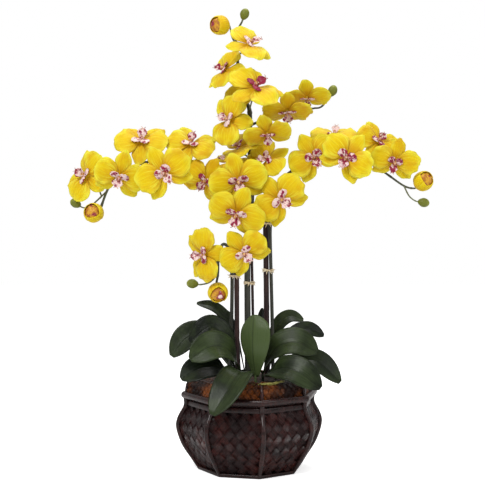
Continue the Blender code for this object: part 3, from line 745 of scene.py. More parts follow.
def leaf_material(groups):
    """Coated cloth leaf: dark green with faint long veins; greyed-green painted sheen in streaks along the
    blade and over whole leaves in the light, and painted shade on leaves in shade and along the midrib
    groove.
    """
    s = bpy.context.scene.orchid_green
    mat, n, shader = new_material("leaf_coated")
    across, _along = sheet_axes(n)
    place = object_place(n)
    mottle = n.group(groups["mottle"], Vector=place)
    streaks = n.group(groups["fibre"], Vector=n.stretch(sheet_place(n), (60.0, 3.0, 1.0)))
    grain = streaks.outputs["Grain"]
    # greyed-green painted sheen in streaky patches on the upper faces
    pale = n.maths("MULTIPLY", n.ramp(mottle.outputs["Clouds"], 0.35, 0.65),
                   n.ramp(grain, 0.35, 0.62, 0.45, 1.0))
    # per-leaf painted light and shade, carried in the dye attribute
    tone = n.add("ShaderNodeAttribute", attribute_name="dye")
    pale = n.maths("ADD", n.maths("MULTIPLY", pale, 0.42), n.maths("MULTIPLY", tone.outputs["Fac"], 0.85))
    colour = n.mix(pale, tuple(s.leaf), tuple(s.leaf_sheen_painted))
    # dark line along the midrib: painted shade in the groove, which the same mask sinks in the bump
    midrib = n.ramp(n.maths("ABSOLUTE", n.maths("SUBTRACT", across, 0.5)), 0.0, 0.035, 1.0, 0.0)
    colour = n.mix(n.maths("MULTIPLY", midrib, 0.45), colour, tuple(s.leaf))
    n.wire(colour, shader.inputs["Base Color"])
    n.wire(n.ramp(grain, 0.3, 0.7, 0.24, 0.36), shader.inputs["Roughness"])
    n.wire(n.bump(n.maths("SUBTRACT", grain, n.maths("MULTIPLY", midrib, 0.8)), 0.0006, 0.7),
           shader.inputs["Normal"])
    shader.inputs["Specular IOR Level"].default_value = 0.17
    return mat


def stem_material(groups):
    """Coated wire stem: dark at the root, greyer green towards the tips."""
    s = bpy.context.scene.orchid_green
    mat, n, shader = new_material("stem_coated")
    age = n.add("ShaderNodeAttribute", attribute_name="young")
    place = object_place(n)
    grain = n.group(groups["fibre"], Vector=n.stretch(place, (700.0, 700.0, 40.0))).outputs["Grain"]
    mottle = n.group(groups["mottle"], Vector=place)
    young = n.maths("ADD", age.outputs["Fac"],
                    n.maths("MULTIPLY", n.maths("SUBTRACT", mottle.outputs["Clouds"], 0.5), 0.5))
    colour = n.mix(n.ramp(young, 0.1, 1.0), tuple(s.stem), tuple(s.stem_tip))
    colour = n.mix(n.ramp(grain, 0.45, 0.7, 0.0, 0.35), colour, (0.10, 0.085, 0.06))
    n.wire(colour, shader.inputs["Base Color"])
    n.wire(n.ramp(grain, 0.3, 0.7, 0.42, 0.62), shader.inputs["Roughness"])
    n.wire(n.bump(grain, 0.0003, 0.7), shader.inputs["Normal"])
    return mat


def bud_material(groups):
    """Closed bud: olive with a paler, yellower crown and faint ribs."""
    s = bpy.context.scene.orchid_green
    mat, n, shader = new_material("bud_olive")
    place = object_place(n)
    tip = n.add("ShaderNodeAttribute", attribute_name="young")
    mottle = n.group(groups["mottle"], Vector=place)
    colour = n.mix(n.ramp(tip.outputs["Fac"], 0.3, 1.0), tuple(s.bud), (0.27, 0.29, 0.045))
    colour = n.mix(n.ramp(mottle.outputs["Flecks"], 0.45, 0.7, 0.0, 0.4), colour, (0.12, 0.12, 0.02))
    n.wire(colour, shader.inputs["Base Color"])
    shader.inputs["Specular IOR Level"].default_value = 0.25
    n.wire(n.ramp(mottle.outputs["Clouds"], 0.3, 0.7, 0.42, 0.6), shader.inputs["Roughness"])
    n.wire(n.bump(mottle.outputs["Flecks"], 0.0003, 0.5), shader.inputs["Normal"])
    return mat


def wood_material(groups, name, dark, light, rough=(0.42, 0.62), stretch=(420.0, 420.0, 14.0)):
    """Stained wood or cane with long grain and rubbed high spots."""
    mat, n, shader = new_material(name)
    place = object_place(n)
    grain = n.group(groups["fibre"], Vector=n.stretch(place, stretch)).outputs["Grain"]
    mottle = n.group(groups["mottle"], Vector=place)
    amount = n.maths("ADD", n.ramp(grain, 0.42, 0.68),
                     n.maths("MULTIPLY", n.ramp(mottle.outputs["Clouds"], 0.45, 0.7), 0.5))
    colour = n.mix(n.maths("MULTIPLY", amount, 0.75), dark, light)
    n.wire(colour, shader.inputs["Base Color"])
    shader.inputs["Specular IOR Level"].default_value = 0.30
    n.wire(n.ramp(grain, 0.3, 0.7, *rough), shader.inputs["Roughness"])
    n.wire(n.bump(grain, 0.0004, 0.8), shader.inputs["Normal"])
    return mat


def weave_material(groups, name, dark, light):
    """Flat cane strips: fine ribs along each strip, a red stain in patches that is cut back where each strip
    dips under the other, and painted shade in the rib grooves and at the crossings.
    """
    mat, n, shader = new_material(name)
    _along, across = sheet_axes(n)
    place = object_place(n)
    mottle = n.group(groups["mottle"], Vector=place)
    grain = n.group(groups["fibre"], Vector=n.stretch(sheet_place(n), (5.0, 22.0, 1.0))).outputs["Grain"]
    ribs = n.maths("SINE", n.maths("MULTIPLY", across, 2 * math.pi * RIBS_PER_STRIP))
    crown = n.add("ShaderNodeAttribute", attribute_name="crown").outputs["Fac"]
    amount = n.maths("MULTIPLY", n.ramp(mottle.outputs["Clouds"], 0.40, 0.66),
                     n.ramp(grain, 0.38, 0.66, 0.3, 1.0))
    # less red where the strip dips under: part of the painted shade at the crossings
    amount = n.maths("MULTIPLY", amount, n.ramp(crown, 0.2, 0.9, 0.25, 1.0))
    colour = n.mix(amount, dark, light)
    # near-black between the fine ribs: painted shade in the grooves
    groove = n.maths("MULTIPLY", n.ramp(ribs, -1.0, 0.0, 1.0, 0.0), 0.9)
    colour = n.mix(groove, colour, (0.004, 0.002, 0.002))
    # near-black where each strip dips under the other: painted shade at the crossings
    colour = n.mix(n.ramp(crown, 0.05, 0.45, 0.95, 0.0), colour, (0.002, 0.001, 0.001))
    n.wire(colour, shader.inputs["Base Color"])
    shader.inputs["Specular IOR Level"].default_value = 0.32
    n.wire(n.ramp(grain, 0.3, 0.7, 0.20, 0.34), shader.inputs["Roughness"])
    height = n.maths("ADD", ribs, n.maths("MULTIPLY", grain, 0.6))
    n.wire(n.bump(height, 0.0012, 1.0), shader.inputs["Normal"])
    return mat


def raffia_material(groups):
    """Dry raffia: pale straw with lengthwise fibres."""
    return wood_material(groups, "raffia_straw", (0.60, 0.47, 0.29), (0.86, 0.78, 0.60), (0.6, 0.85),
                         (900.0, 900.0, 900.0))


def filling_material(groups):
    """Bark and coir crumb: broken brown lumps, with painted shade in the gaps between them."""
    mat, n, shader = new_material("filling_bark")
    place = object_place(n)
    cells = n.add("ShaderNodeTexVoronoi")
    n.wire(place, cells.inputs["Vector"])
    cells.inputs["Scale"].default_value = 170.0
    mottle = n.group(groups["mottle"], Vector=place)
    colour = n.mix(n.ramp(mottle.outputs["Clouds"], 0.35, 0.65), (0.030, 0.016, 0.010), (0.12, 0.055, 0.028))
    # near-black in the gaps between the lumps: painted shade
    colour = n.mix(n.ramp(cells.outputs["Distance"], 0.1, 0.6, 0.0, 0.7), colour, (0.008, 0.005, 0.004))
    n.wire(colour, shader.inputs["Base Color"])
    shader.inputs["Roughness"].default_value = 0.85
    n.wire(n.bump(n.maths("SUBTRACT", 1.0, cells.outputs["Distance"]), 0.003, 1.0), shader.inputs["Normal"])
    return mat


def moss_material(groups):
    """Dried moss: yellow-green tangle."""
    return wood_material(groups, "moss_dried", (0.14, 0.13, 0.03), (0.50, 0.47, 0.13), (0.75, 0.95),
                         (800.0, 800.0, 800.0))


def make_materials():
    """All finishes, keyed by what they cover."""
    s = bpy.context.scene.orchid_pot
    groups = {"cloth": group_cloth(), "mottle": group_mottle(), "fibre": group_fibre()}
    return {
        "petal": petal_material(groups, (0.62, 0.36, 0.001), 0.45),
        "half_open": petal_material(groups, (0.58, 0.27, 0.004), 0.80),
        "lip": lip_material(),
        "column": column_material(),
        "heart": heart_material(),
        "leaf": leaf_material(groups),
        "stem": stem_material(groups),
        "bud": bud_material(groups),
        "stake": wood_material(groups, "stake_stained", (0.014, 0.006, 0.007), (0.060, 0.026, 0.024)),
        "frame": wood_material(groups, "frame_lacquered", (0.010, 0.004, 0.004), (0.042, 0.012, 0.010),
                               (0.20, 0.32), (200.0, 200.0, 200.0)),
        "weave": weave_material(groups, "weave_stained", tuple(s.weave), tuple(s.red)),
        "collar": weave_material(groups, "collar_weave", (0.040, 0.012, 0.007), tuple(s.collar)),
        "backing": wood_material(groups, "basket_inside", (0.010, 0.006, 0.006), (0.035, 0.014, 0.012)),
        "raffia": raffia_material(groups),
        "filling": filling_material(groups),
        "moss": moss_material(groups),
    }


FINISH = {}


def finish(name):
    """A finish by name; all are made on first use."""
    if not FINISH:
        FINISH.update(make_materials())
    return FINISH[name]


# ------------------------------------------------------------------ flower masters
PETAL_COLUMNS = 8
PETAL_THICKNESS = 0.7
LOBE_COLUMNS = 4
LOBE_THICKNESS = 0.8
# Rows of a petal and a sepal from foot to tip: reach, half width, rise
PETAL_ROWS = [(2, 2.5, 0.3), (5, 5.5, 1.2), (9, 12, 2.4), (13.5, 18.5, 3.4), (18.5, 23, 4.2),
              (24, 25.2, 4.8), (29.5, 25, 5.0), (34.5, 22.5, 4.7), (39, 18.2, 4.0), (42.5, 12.6, 3.2),
              (45, 6.5, 2.4), (46.2, 1.6, 2.0)]
SEPAL_ROWS = [(2, 2.5, -0.3), (6, 5.5, -0.6), (12, 10.2, -1.0), (18, 13.4, -1.2), (24, 14.4, -1.3),
              (30, 13.6, -1.6), (35.5, 11.2, -2.1), (40, 7.8, -2.7), (43.2, 4.2, -3.2), (45.2, 0.8, -3.6)]
MID_LOBE_ROWS = [(0, 2.6, 0), (3, 4.6, 0.4), (6.5, 6.4, 1.2), (10, 8.6, 1.4), (13, 8.8, 1.2), (16, 5.6, 0.6),
                 (18.5, 1.8, 0.0)]
SIDE_LOBE_ROWS = [(0, 2.4, 0), (3, 5.4, 0.3), (6.5, 8.0, 0.2), (10, 8.4, -1.0), (13, 6.2, -3.0),
                  (15.5, 2.0, -5.0)]


def petal_master(name, rows, drops, seed, wave):
    """One wired silk petal lying along +Y, with a raised midrib and waved edges."""
    obj = grid_sheet(name, PETAL_COLUMNS, rows)
    dish_columns(obj, PETAL_COLUMNS, drops)
    ruffle(obj, PETAL_COLUMNS, wave, 10.0, seed)
    subdivide(obj, 1)
    modify(obj, "SOLIDIFY", thickness=PETAL_THICKNESS, offset=0.0)
    return smooth(obj)


def lobe_master(name, rows, drops, seed):
    """Crumpled lobe of the lip, lying along +Y."""
    obj = grid_sheet(name, LOBE_COLUMNS, rows)
    dish_columns(obj, LOBE_COLUMNS, drops)
    subdivide(obj, 1)
    texture = clouds("crumple", 3.2)
    for vert in obj.data.vertices:
        vert.co.x += seed * 50.0
    for way in ("X", "Z"):
        modify(obj, "DISPLACE", texture=texture, strength=4.0, mid_level=0.5, direction=way,
               texture_coords="LOCAL")
    for vert in obj.data.vertices:
        vert.co.x -= seed * 50.0
    modify(obj, "SOLIDIFY", thickness=LOBE_THICKNESS, offset=0.0)
    return smooth(obj)


def ball(name, place, size, segments=12, rings=8):
    """Ball stretched to a size, at a place."""
    bpy.ops.object.select_all(action="DESELECT")
    bpy.ops.mesh.primitive_uv_sphere_add(segments=segments, ring_count=rings, radius=1.0)
    return bake(fresh(name), Matrix.Translation(place) @ Matrix.Diagonal((*size, 1)))


def lip_master():
    """Lip with a keeled mid lobe, two upright side lobes and two tendrils, and the hooded column."""
    mid = lobe_master("mid_lobe", MID_LOBE_ROWS, [1.6, 0.2, -2.0], 1)
    bake(mid, Matrix.Translation((0, -2.5, 2.5)) @ Matrix.Rotation(math.radians(180), 4, "Z")
         @ Matrix.Rotation(math.radians(28), 4, "X"))
    pieces = [mid]
    for sign in (-1.0, 1.0):
        ear = lobe_master("side_lobe", SIDE_LOBE_ROWS, [0.0, 0.6, 1.6], 2 + sign)
        bake(ear, Matrix.Translation((sign * 2.4, -3.0, 2.0))
             @ Matrix.Rotation(math.radians(sign * -52), 4, "Z")
             @ Matrix.Rotation(math.radians(40), 4, "X") @ Matrix.Rotation(math.radians(sign * 24), 4, "Y"))
        pieces.append(ear)
        tendril = bar("tendril", spline([(sign * 0.8, -17.0, 10.5), (sign * 2.4, -20.0, 11.0),
                                         (sign * 4.2, -19.5, 13.5), (sign * 2.6, -17.5, 15.0)], 4),
                      [0.6, 0.55, 0.5, 0.5, 0.45, 0.45, 0.4, 0.4, 0.35, 0.35, 0.3, 0.25, 0.2], sides=1)
        pieces.append(tendril)
    lip = join(pieces, "lip_master")
    column = ball("column", (0, 0, 0), (2.6, 2.5, 5.6))
    bpy.ops.object.mode_set(mode="EDIT")
    select_vertices(column, lambda i, co: co.z > 2.0)
    bpy.ops.transform.resize(value=(1.3, 1.15, 1.0), center_override=(0, 0, 3.0))
    bpy.ops.object.mode_set(mode="OBJECT")
    bake(column, Matrix.Translation((0, -0.2, 5.0)) @ Matrix.Rotation(math.radians(24), 4, "X"))
    subdivide(column, 1)
    callus = ball("callus", (0, -6.2, 5.2), (2.0, 1.5, 1.8), 10, 6)
    cap = ball("cap", (0, -2.4, 9.8), (1.9, 1.5, 1.6), 10, 6)
    heart = smooth(join([column, callus, cap], "column_master"))
    return smooth(lip), heart


def tepal_set(name, seed, wave):
    """Two petals over three sepals, all meeting at the middle."""
    petal = petal_master("petal", PETAL_ROWS, [0.0, 0.5, 1.1, 1.9, 3.2], seed, wave)
    sepal = petal_master("sepal", SEPAL_ROWS, [0.0, 0.3, 0.7, 1.3, 2.0], seed + 3, wave * 0.6)
    pieces = []
    for master, angle, lift in ((petal, 8, 0.4), (petal, 172, 0.4), (sepal, 90, -0.5), (sepal, 218, -0.9),
                                (sepal, 322, -1.3)):
        piece = copy_of(master, name)
        bake(piece, Matrix.Rotation(math.radians(angle - 90), 4, "Z") @ Matrix.Translation((0, 0, lift)))
        pieces.append(piece)
    drop(petal, sepal)
    hub = ball("hub", (0, 0, -1.2), (4.2, 4.2, 2.8), 12, 6)
    return smooth(join(pieces + [hub], name))


class OBJECT_OT_orchid_blooms(bpy.types.Operator):
    """Make the open flower heads"""
    bl_idname = "object.orchid_blooms"
    bl_label = "Open Flowers"

    def execute(self, context):
        wave = context.scene.orchid_petal.ruffle / MM
        sets = [tepal_set(f"tepals_{k}", k + 1, wave * (0.85 + 0.15 * k)) for k in range(3)]
        lip, heart = lip_master()
        rng = random.Random(7)
        for count, (node, centre, span, turn, tilt, roll) in enumerate(BLOOMS):
            low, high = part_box(node)
            if any(not low[i] - 0.012 < centre[i] * MM < high[i] + 0.012 for i in range(3)):
                raise RuntimeError(f"{node} is not where the frame has it")
            size = span / BLOOM_SPAN * MM
            place = Matrix.Translation(Vector(centre) * MM) @ (facing(turn, tilt, roll)
                                                               @ Matrix.Diagonal((size,) * 3)).to_4x4()
            tepals = copy_of(sets[count % 3], f"{node}_petals")
            own = Matrix.Diagonal((rng.uniform(0.98, 1.03), rng.uniform(0.98, 1.03), 1, 1))
            if rng.random() < 0.5:
                own = own @ Matrix.Diagonal((-1, 1, 1, 1))
            bake(tepals, place @ own)
            if own[0][0] < 0:
                tepals.data.flip_normals()
            set_point_attribute(tepals, "dye", [rng.uniform(0.0, 0.55)] * len(tepals.data.vertices))
            finish_piece(tepals, node, finish("petal"))
            throat = copy_of(lip, f"{node}_lip")
            bake(throat, place @ Matrix.Rotation(math.radians(rng.uniform(-14, 14)), 4, "Z")
                 @ Matrix.Diagonal((rng.uniform(0.85, 1.1), rng.uniform(0.9, 1.08), 1, 1)))
            deep = 1.2 if node == "bloom_top_3" else rng.uniform(-0.12, 0.30)
            set_point_attribute(throat, "dye", [deep] * len(throat.data.vertices))
            finish_piece(throat, node, finish("lip"))
            column = copy_of(heart, f"{node}_column")
            bake(column, place)
            finish_piece(column, node, finish("column"))
        drop(*sets, lip, heart)
        return {"FINISHED"}


def cup_petal(name, radius, width, mouth):
    """Pointed shell of a ball between two planes through its axis, open at the top."""
    bpy.ops.object.select_all(action="DESELECT")
    bpy.ops.mesh.primitive_uv_sphere_add(segments=40, ring_count=20, radius=radius)
    obj = fresh(name)
    bpy.ops.object.mode_set(mode="EDIT")
    for sign in (-1.0, 1.0):
        ang = math.radians(sign * width / 2)
        bpy.ops.mesh.select_all(action="SELECT")
        bpy.ops.mesh.bisect(plane_co=(0, 0, 0), clear_outer=True,
                            plane_no=(-math.sin(ang) * sign, math.cos(ang) * sign, 0.0))
    tilt = math.radians(24)
    bpy.ops.mesh.select_all(action="SELECT")
    bpy.ops.mesh.bisect(plane_co=(0, 0, radius * mouth), clear_outer=True,
                        plane_no=(-math.sin(tilt), 0.0, math.cos(tilt)))
    bpy.ops.object.mode_set(mode="OBJECT")
    modify(obj, "DISPLACE", texture=clouds("cup wave", 12.0), strength=1.2, mid_level=0.5,
           texture_coords="LOCAL")
    modify(obj, "SOLIDIFY", thickness=0.8, offset=-1.0)
    outside = radius - 0.9
    set_point_attribute(obj, "dye", [0.05 if v.co.length > outside else 1.0 for v in obj.data.vertices])
    return smooth(obj)


# Shells of a half-open bud: radius, width in degrees, height of the mouth, turn in degrees
BUD_SHELLS = [(17.0, 140, 0.40, 0), (16.5, 140, 0.28, 120), (16.0, 140, 0.34, 240), (13.6, 110, 0.42, 60),
              (12.8, 110, 0.50, 240)]


class OBJECT_OT_orchid_half_open(bpy.types.Operator):
    """Make the half-open buds"""
    bl_idname = "object.orchid_half_open"
    bl_label = "Half-open Buds"

    def execute(self, context):
        for node, centre, axis, spin in HALF_OPEN:
            shells = []
            for radius, width, mouth, turn in BUD_SHELLS:
                shell = cup_petal("shell", radius, width, mouth)
                bake(shell, Matrix.Rotation(math.radians(turn), 4, "Z") @ Matrix.Diagonal((1, 1, 1.08, 1)))
                shells.append(shell)
            bud = join(shells, f"{node}_shells")
            place = Matrix.Translation(Vector(centre) * MM) @ (along_axis(axis, spin)
                                                               @ Matrix.Diagonal((MM,) * 3)).to_4x4()
            bake(bud, place)
            finish_piece(bud, node, finish("half_open"))
            inner = ball("inner", (0, 0, 0.8), (15.1, 14.6, 13.6), 32, 20)
            modify(inner, "DISPLACE", texture=clouds("folded", 5.0), strength=4.6, mid_level=0.60,
                   texture_coords="LOCAL")
            inner.name = f"{node}_heart"
            bake(smooth(inner), place)
            finish_piece(inner, node, finish("heart"))
        return {"FINISHED"}


# ------------------------------------------------------------------ stems
def bud_seat(name):
    """Last two points of a stalk that stops just behind a half-open bud."""
    for bud, centre, axis, _spin in HALF_OPEN:
        if bud == name:
            ax = Vector(axis).normalized()
            back = HALF_RADIUS * 1.12 * math.cos(math.pi * 0.08) + 0.3
            return [Vector(centre) - ax * (back + 7.0), Vector(centre) - ax * back]
    raise ValueError(name)


def head_stalk(centre, span, turn, tilt, path):
    """Stalk from the nearest point of a branch to the back of a flower head."""
    normal = facing(turn, tilt, 0.0).col[2]
    seat = HUB_BACK * span / BLOOM_SPAN + 0.3
    end = Vector(centre) - normal * seat
    near = Vector(centre) - normal * (seat + 11.0)
    root = min(path, key=lambda p: (p - near + Vector((0, 0, 6))).length)
    middle = (root + near) / 2 + Vector((0, 3.0, 3.0))
    return [root, middle, near, end]


class OBJECT_OT_orchid_stems(bpy.types.Operator):
    """Make the stems with their side stalks and closed buds"""
    bl_idname = "object.orchid_stems"
    bl_label = "Stems"

    def execute(self, context):
        for node, branches in STEMS.items():
            pieces = []
            buds = []
            paths = []
            for points, root, tip, bud in branches:
                path = [Vector(p) for p in points]
                if isinstance(bud, str):
                    path += bud_seat(bud)
                else:
                    half = BUD_RADII[1]
                    axis = Vector(bud[1]).normalized()
                    path += [Vector(bud[0]) - axis * (half + 4.0), Vector(bud[0]) - axis * (half - 4.0)]
                    buds.append(bud)
                paths += spline(path, 4)
                line = spline(path, 8)
                steps = len(line) - 1
                radii = []
                for i in range(steps + 1):
                    knot = 1.0 + (0.22 if i % 11 == 5 else 0.0)
                    radii.append((root + (tip - root) * i / steps) * knot)
                pieces.append((bar(node, line, radii), root, tip))
            for head, centre, span, turn, tilt, _roll in BLOOMS:
                holder = "stem_middle"
                if head.startswith(HEADS_ON_LEFT_STEM):
                    holder = "stem_left"
                if head.startswith(HEADS_ON_RIGHT_STEM):
                    holder = "stem_right"
                if holder == node:
                    line = spline(head_stalk(centre, span, turn, tilt, paths), 6)
                    radii = [STALK_RADIUS * (1.0 + 0.35 * (i / len(line)) ** 3) for i in range(len(line))]
                    pieces.append((bar(node, line, radii), 1.5, 1.2))
            for obj, root, tip in pieces:
                young = 0.15 if root > 2 else 0.75
                ends = 0.65 if root > 2 else 1.0
                count = len(obj.data.vertices)
                set_point_attribute(obj, "young", [young + (ends - young) * (i / count) ** 3
                                                   for i in range(count)])
            stem = join([p[0] for p in pieces], f"{node}_stalks")
            to_metres(stem)
            finish_piece(stem, node, finish("stem"))
            closed = [self.closed_bud(centre, axis) for centre, axis in buds]
            crown = join(closed, f"{node}_buds")
            to_metres(crown)
            finish_piece(crown, node, finish("bud"))
        return {"FINISHED"}

    def closed_bud(self, centre, axis):
        """Egg-shaped bud with three shallow seams and a blunt nose."""
        bpy.ops.object.select_all(action="DESELECT")
        bpy.ops.mesh.primitive_uv_sphere_add(segments=18, ring_count=12, radius=1.0)
        bud = fresh("bud")
        bpy.ops.object.mode_set(mode="EDIT")
        select_vertices(bud, lambda i, co: abs(math.sin(1.5 * math.atan2(co.y, co.x))) < 0.12
                        and abs(co.z) < 0.97)
        bpy.ops.transform.resize(value=(0.93, 0.93, 1.0), center_override=(0, 0, 0))
        select_vertices(bud, lambda i, co: co.z < -0.3)
        bpy.ops.transform.resize(value=(0.90, 0.90, 1.0), center_override=(0, 0, -0.5))
        bpy.ops.object.mode_set(mode="OBJECT")
        radius, half = BUD_RADII
        heights = [max(0.0, v.co.z) for v in bud.data.vertices]
        bake(bud, Matrix.Translation(Vector(centre)) @ (along_axis(axis)
                                                        @ Matrix.Diagonal((radius, radius, half))).to_4x4())
        set_point_attribute(bud, "young", heights)
        subdivide(bud, 1)
        return smooth(bud)


# ------------------------------------------------------------------ leaves
# Width of a leaf from foot to tip, as a share of its half width
LEAF_OUTLINE = [0.22, 0.34, 0.50, 0.66, 0.80, 0.91, 1.00, 1.06, 1.09, 1.10, 1.09, 1.05, 0.97, 0.83, 0.60,
                0.22]
LEAF_COLUMNS = 8
LEAF_THICKNESS = 1.6
# Painted light and shade on each leaf: how much paler than the rest it is drawn, lowest for leaves in shade
LEAF_PAINTED_LIGHT = {"leaf_front_upright": 1.25, "leaf_front_drooping": 0.12, "leaf_right": 0.24,
              "leaf_far_left": 0.16, "leaf_left_front": 0.30, "leaf_right_front": 0.06,
              "leaf_back_right": 0.24,
              "leaf_upper_left": -0.12, "leaf_lower_left": -0.06, "leaf_far_right": 0.08}


class OBJECT_OT_orchid_leaves(bpy.types.Operator):
    """Make the strap leaves"""
    bl_idname = "object.orchid_leaves"
    bl_label = "Leaves"

    def execute(self, context):
        for node, points, half_width, roll in LEAVES:
            leaf = self.blade(node, points, half_width, roll)
            # the tone is painted light and shade for the whole leaf, stored in the dye attribute
            tone = LEAF_PAINTED_LIGHT.get(node, 0.0)
            set_point_attribute(leaf, "dye", [tone] * len(leaf.data.vertices))
            finish_piece(leaf, node, finish("leaf"))
        return {"FINISHED"}

    def blade(self, node, points, half_width, roll):
        """Keeled blade: a grid laid along the leaf's line, thickened and smoothed."""
        bpy.ops.mesh.primitive_grid_add(x_subdivisions=LEAF_COLUMNS, y_subdivisions=len(LEAF_OUTLINE) - 1,
                                        size=2.0, calc_uvs=True)
        obj = fresh(f"{node}_blade")
        line = spline(points, 5)
        heading = Vector((line[-1].x - line[0].x, line[-1].y - line[0].y, 0.0)).normalized()
        across = Vector((heading.y, -heading.x, 0.0))
        last = len(line) - 1
        for vert in obj.data.vertices:
            i = vert.index // (LEAF_COLUMNS + 1)
            u = vert.co.x
            point = line[i]
            along = (line[min(i + 1, last)] - line[max(i - 1, 0)]).normalized()
            side = (across - along * across.dot(along)).normalized()
            turn = math.radians(roll) * min(1.0, i / (last / 3))
            side = Matrix.Rotation(turn, 3, along) @ side
            up = side.cross(along)
            half = half_width * LEAF_OUTLINE[i]
            fold = 0.25 * abs(u) ** 1.08
            vert.co = point + side * half * u + up * half * fold
        group = obj.vertex_groups.new(name="edge")
        for vert in obj.data.vertices:
            u = abs(vert.index % (LEAF_COLUMNS + 1) - LEAF_COLUMNS / 2) / (LEAF_COLUMNS / 2)
            group.add([vert.index], u, "REPLACE")
        modify(obj, "DISPLACE", texture=clouds("leaf wave", 38.0), strength=3.0, mid_level=0.5,
               texture_coords="LOCAL", vertex_group="edge")
        obj.vertex_groups.clear()
        subdivide(obj, 1)
        modify(obj, "SOLIDIFY", thickness=LEAF_THICKNESS, offset=0.0)
        radius, depth = LEAF_STALK
        foot = Vector(points[0])
        stalk = bar("stalk", [foot + Vector((0, 0, lift)) for lift in (-depth, -4, 4)],
                    [radius, radius, radius * 0.8])
        whole = join([obj, stalk], f"{node}_blade")
        to_metres(whole)
        return smooth(whole)


# ------------------------------------------------------------------ stakes, ties and moss
# Which way each loose end of a tie points: sideways, upwards
TAILS = [(-1, 0.25), (1, 0.1), (-1, -0.35), (1, -0.55), (-0.5, -1.0), (0.6, -0.9)]


class OBJECT_OT_orchid_stakes(bpy.types.Operator):
    """Make the stakes and the raffia ties"""
    bl_idname = "object.orchid_stakes"
    bl_label = "Stakes and Ties"

    def execute(self, context):
        rng = random.Random(11)
        for node, foot, head, radius in STAKES:
            a, b = Vector(foot), Vector(head)
            steps = 40
            points = [a.lerp(b, i / steps) for i in range(steps + 1)]
            radii = [radius * (0.97 + 0.05 * rng.random()) for _ in points]
            for i in range(6, steps, 13):
                radii[i] = radius * 1.06
            radii[-1] = radius * 0.82
            cane = bar(f"{node}_cane", points, radii, sides=4)
            to_metres(cane)
            finish_piece(cane, node, finish("stake"))
        for node, height, stake, stem in TIES:
            strands = []
            for turn in range(3):
                line = []
                for k in range(28):
                    ang = 2 * math.pi * k / 28
                    d = Vector((math.cos(ang), math.sin(ang), 0.0))
                    best = max((stake, stem), key=lambda c: c[0] * d.x + c[1] * d.y + c[2])
                    rise = (turn - 1) * 1.3 + 0.8 * math.sin(2 * ang + turn)
                    line.append(Vector((best[0], best[1], height + rise)) + d * (best[2] + 1.2))
                strands.append(bar("turn", line, [0.75] * len(line), closed=True, sides=1))
            front = min(stake[1] - stake[2], stem[1] - stem[2])
            knot = Vector(((stake[0] + stem[0]) / 2, front - 1.6, height))
            for k, (sx, sz) in enumerate(TAILS):
                reach = rng.uniform(9.0, 13.0) if k < 4 else rng.uniform(5.0, 9.0)
                bend = Vector((sx * reach * 0.5, -3.0, sz * reach * 0.2 + rng.uniform(-0.5, 1.5)))
                tail = spline([knot, knot + bend, knot + Vector((sx * reach, -3.5, sz * reach * 0.8))], 5)
                strands.append(bar("tail", tail, [0.8] * (len(tail) - 2) + [0.55, 0.25], sides=1))
            tie = join(strands, f"{node}_raffia")
            to_metres(tie)
            finish_piece(tie, node, finish("raffia"))
        return {"FINISHED"}


class OBJECT_OT_orchid_moss(bpy.types.Operator):
    """Make the moss strand and dress the filling"""
    bl_idname = "object.orchid_moss"
    bl_label = "Moss and Filling"

    def execute(self, context):
        rng = random.Random(5)
        spine = spline(MOSS, 6)
        strands = []
        for _ in range(26):
            start = rng.randrange(0, len(spine) - 7)
            length = rng.randrange(6, 14)
            part = spine[start:start + length]
            off = Vector((rng.uniform(-1.5, 1.5), rng.uniform(-2.2, 2.2), rng.uniform(-0.6, 2.4)))
            line = [p + off + Vector((rng.uniform(-0.8, 0.8) for _ in range(3))) for p in part]
            strands.append(bar("fibre", spline(line, 2), [0.6] * (2 * len(line) - 1), sides=0))
        moss = join(strands, "moss_strand_fibres")
        to_metres(moss)
        finish_piece(moss, "moss_strand", finish("moss"))
        dress(cad_node("growing_medium"), finish("filling"))
        return {"FINISHED"}


# ------------------------------------------------------------------ pot
HALF_SIDE = math.pi / POT_SIDES
RIBS_PER_STRIP = 5.0
STRIP_LEAN = 50.0
STRIP_WIDTH = 0.88
STRIP_THICKNESS = 0.7
COLLAR_PITCH = 0.62
# Sections of the rail, foot hoop and waist band: corner radius and height, mm
HOOPS = [("rail", [(106.6, 120.3), (114.5, 120.3), (117.0, 123.2), (117.0, 128.2), (114.5, 131.0),
                   (106.6, 131.0)]),
         ("foot", [(83.2, 0.0), (88.5, 0.0), (89.8, 6.0), (83.2, 6.0)]),
         ("band", [(106.2, 108.0), (109.0, 108.0), (108.0, 116.0), (104.2, 118.5), (103.2, 114.0)])]


def profile_at(height):
    """Corner radius of the basket at a height."""
    for (r0, h0), (r1, h1) in zip(POT_PROFILE, POT_PROFILE[1:]):
        if h0 <= height <= h1:
            t = (height - h0) / (h1 - h0)
            return r0 + (r1 - r0) * t
    return POT_PROFILE[-1][0]


def arc_table(low, high):
    """Heights up the wall and the length of wall below each."""
    table = [(0.0, low)]
    step = 0.5
    height = low
    length = 0.0
    cos = math.cos(HALF_SIDE)
    while height < high:
        nxt = min(high, height + step)
        length += math.hypot((profile_at(nxt) - profile_at(height)) * cos, nxt - height)
        table.append((length, nxt))
        height = nxt
    return table


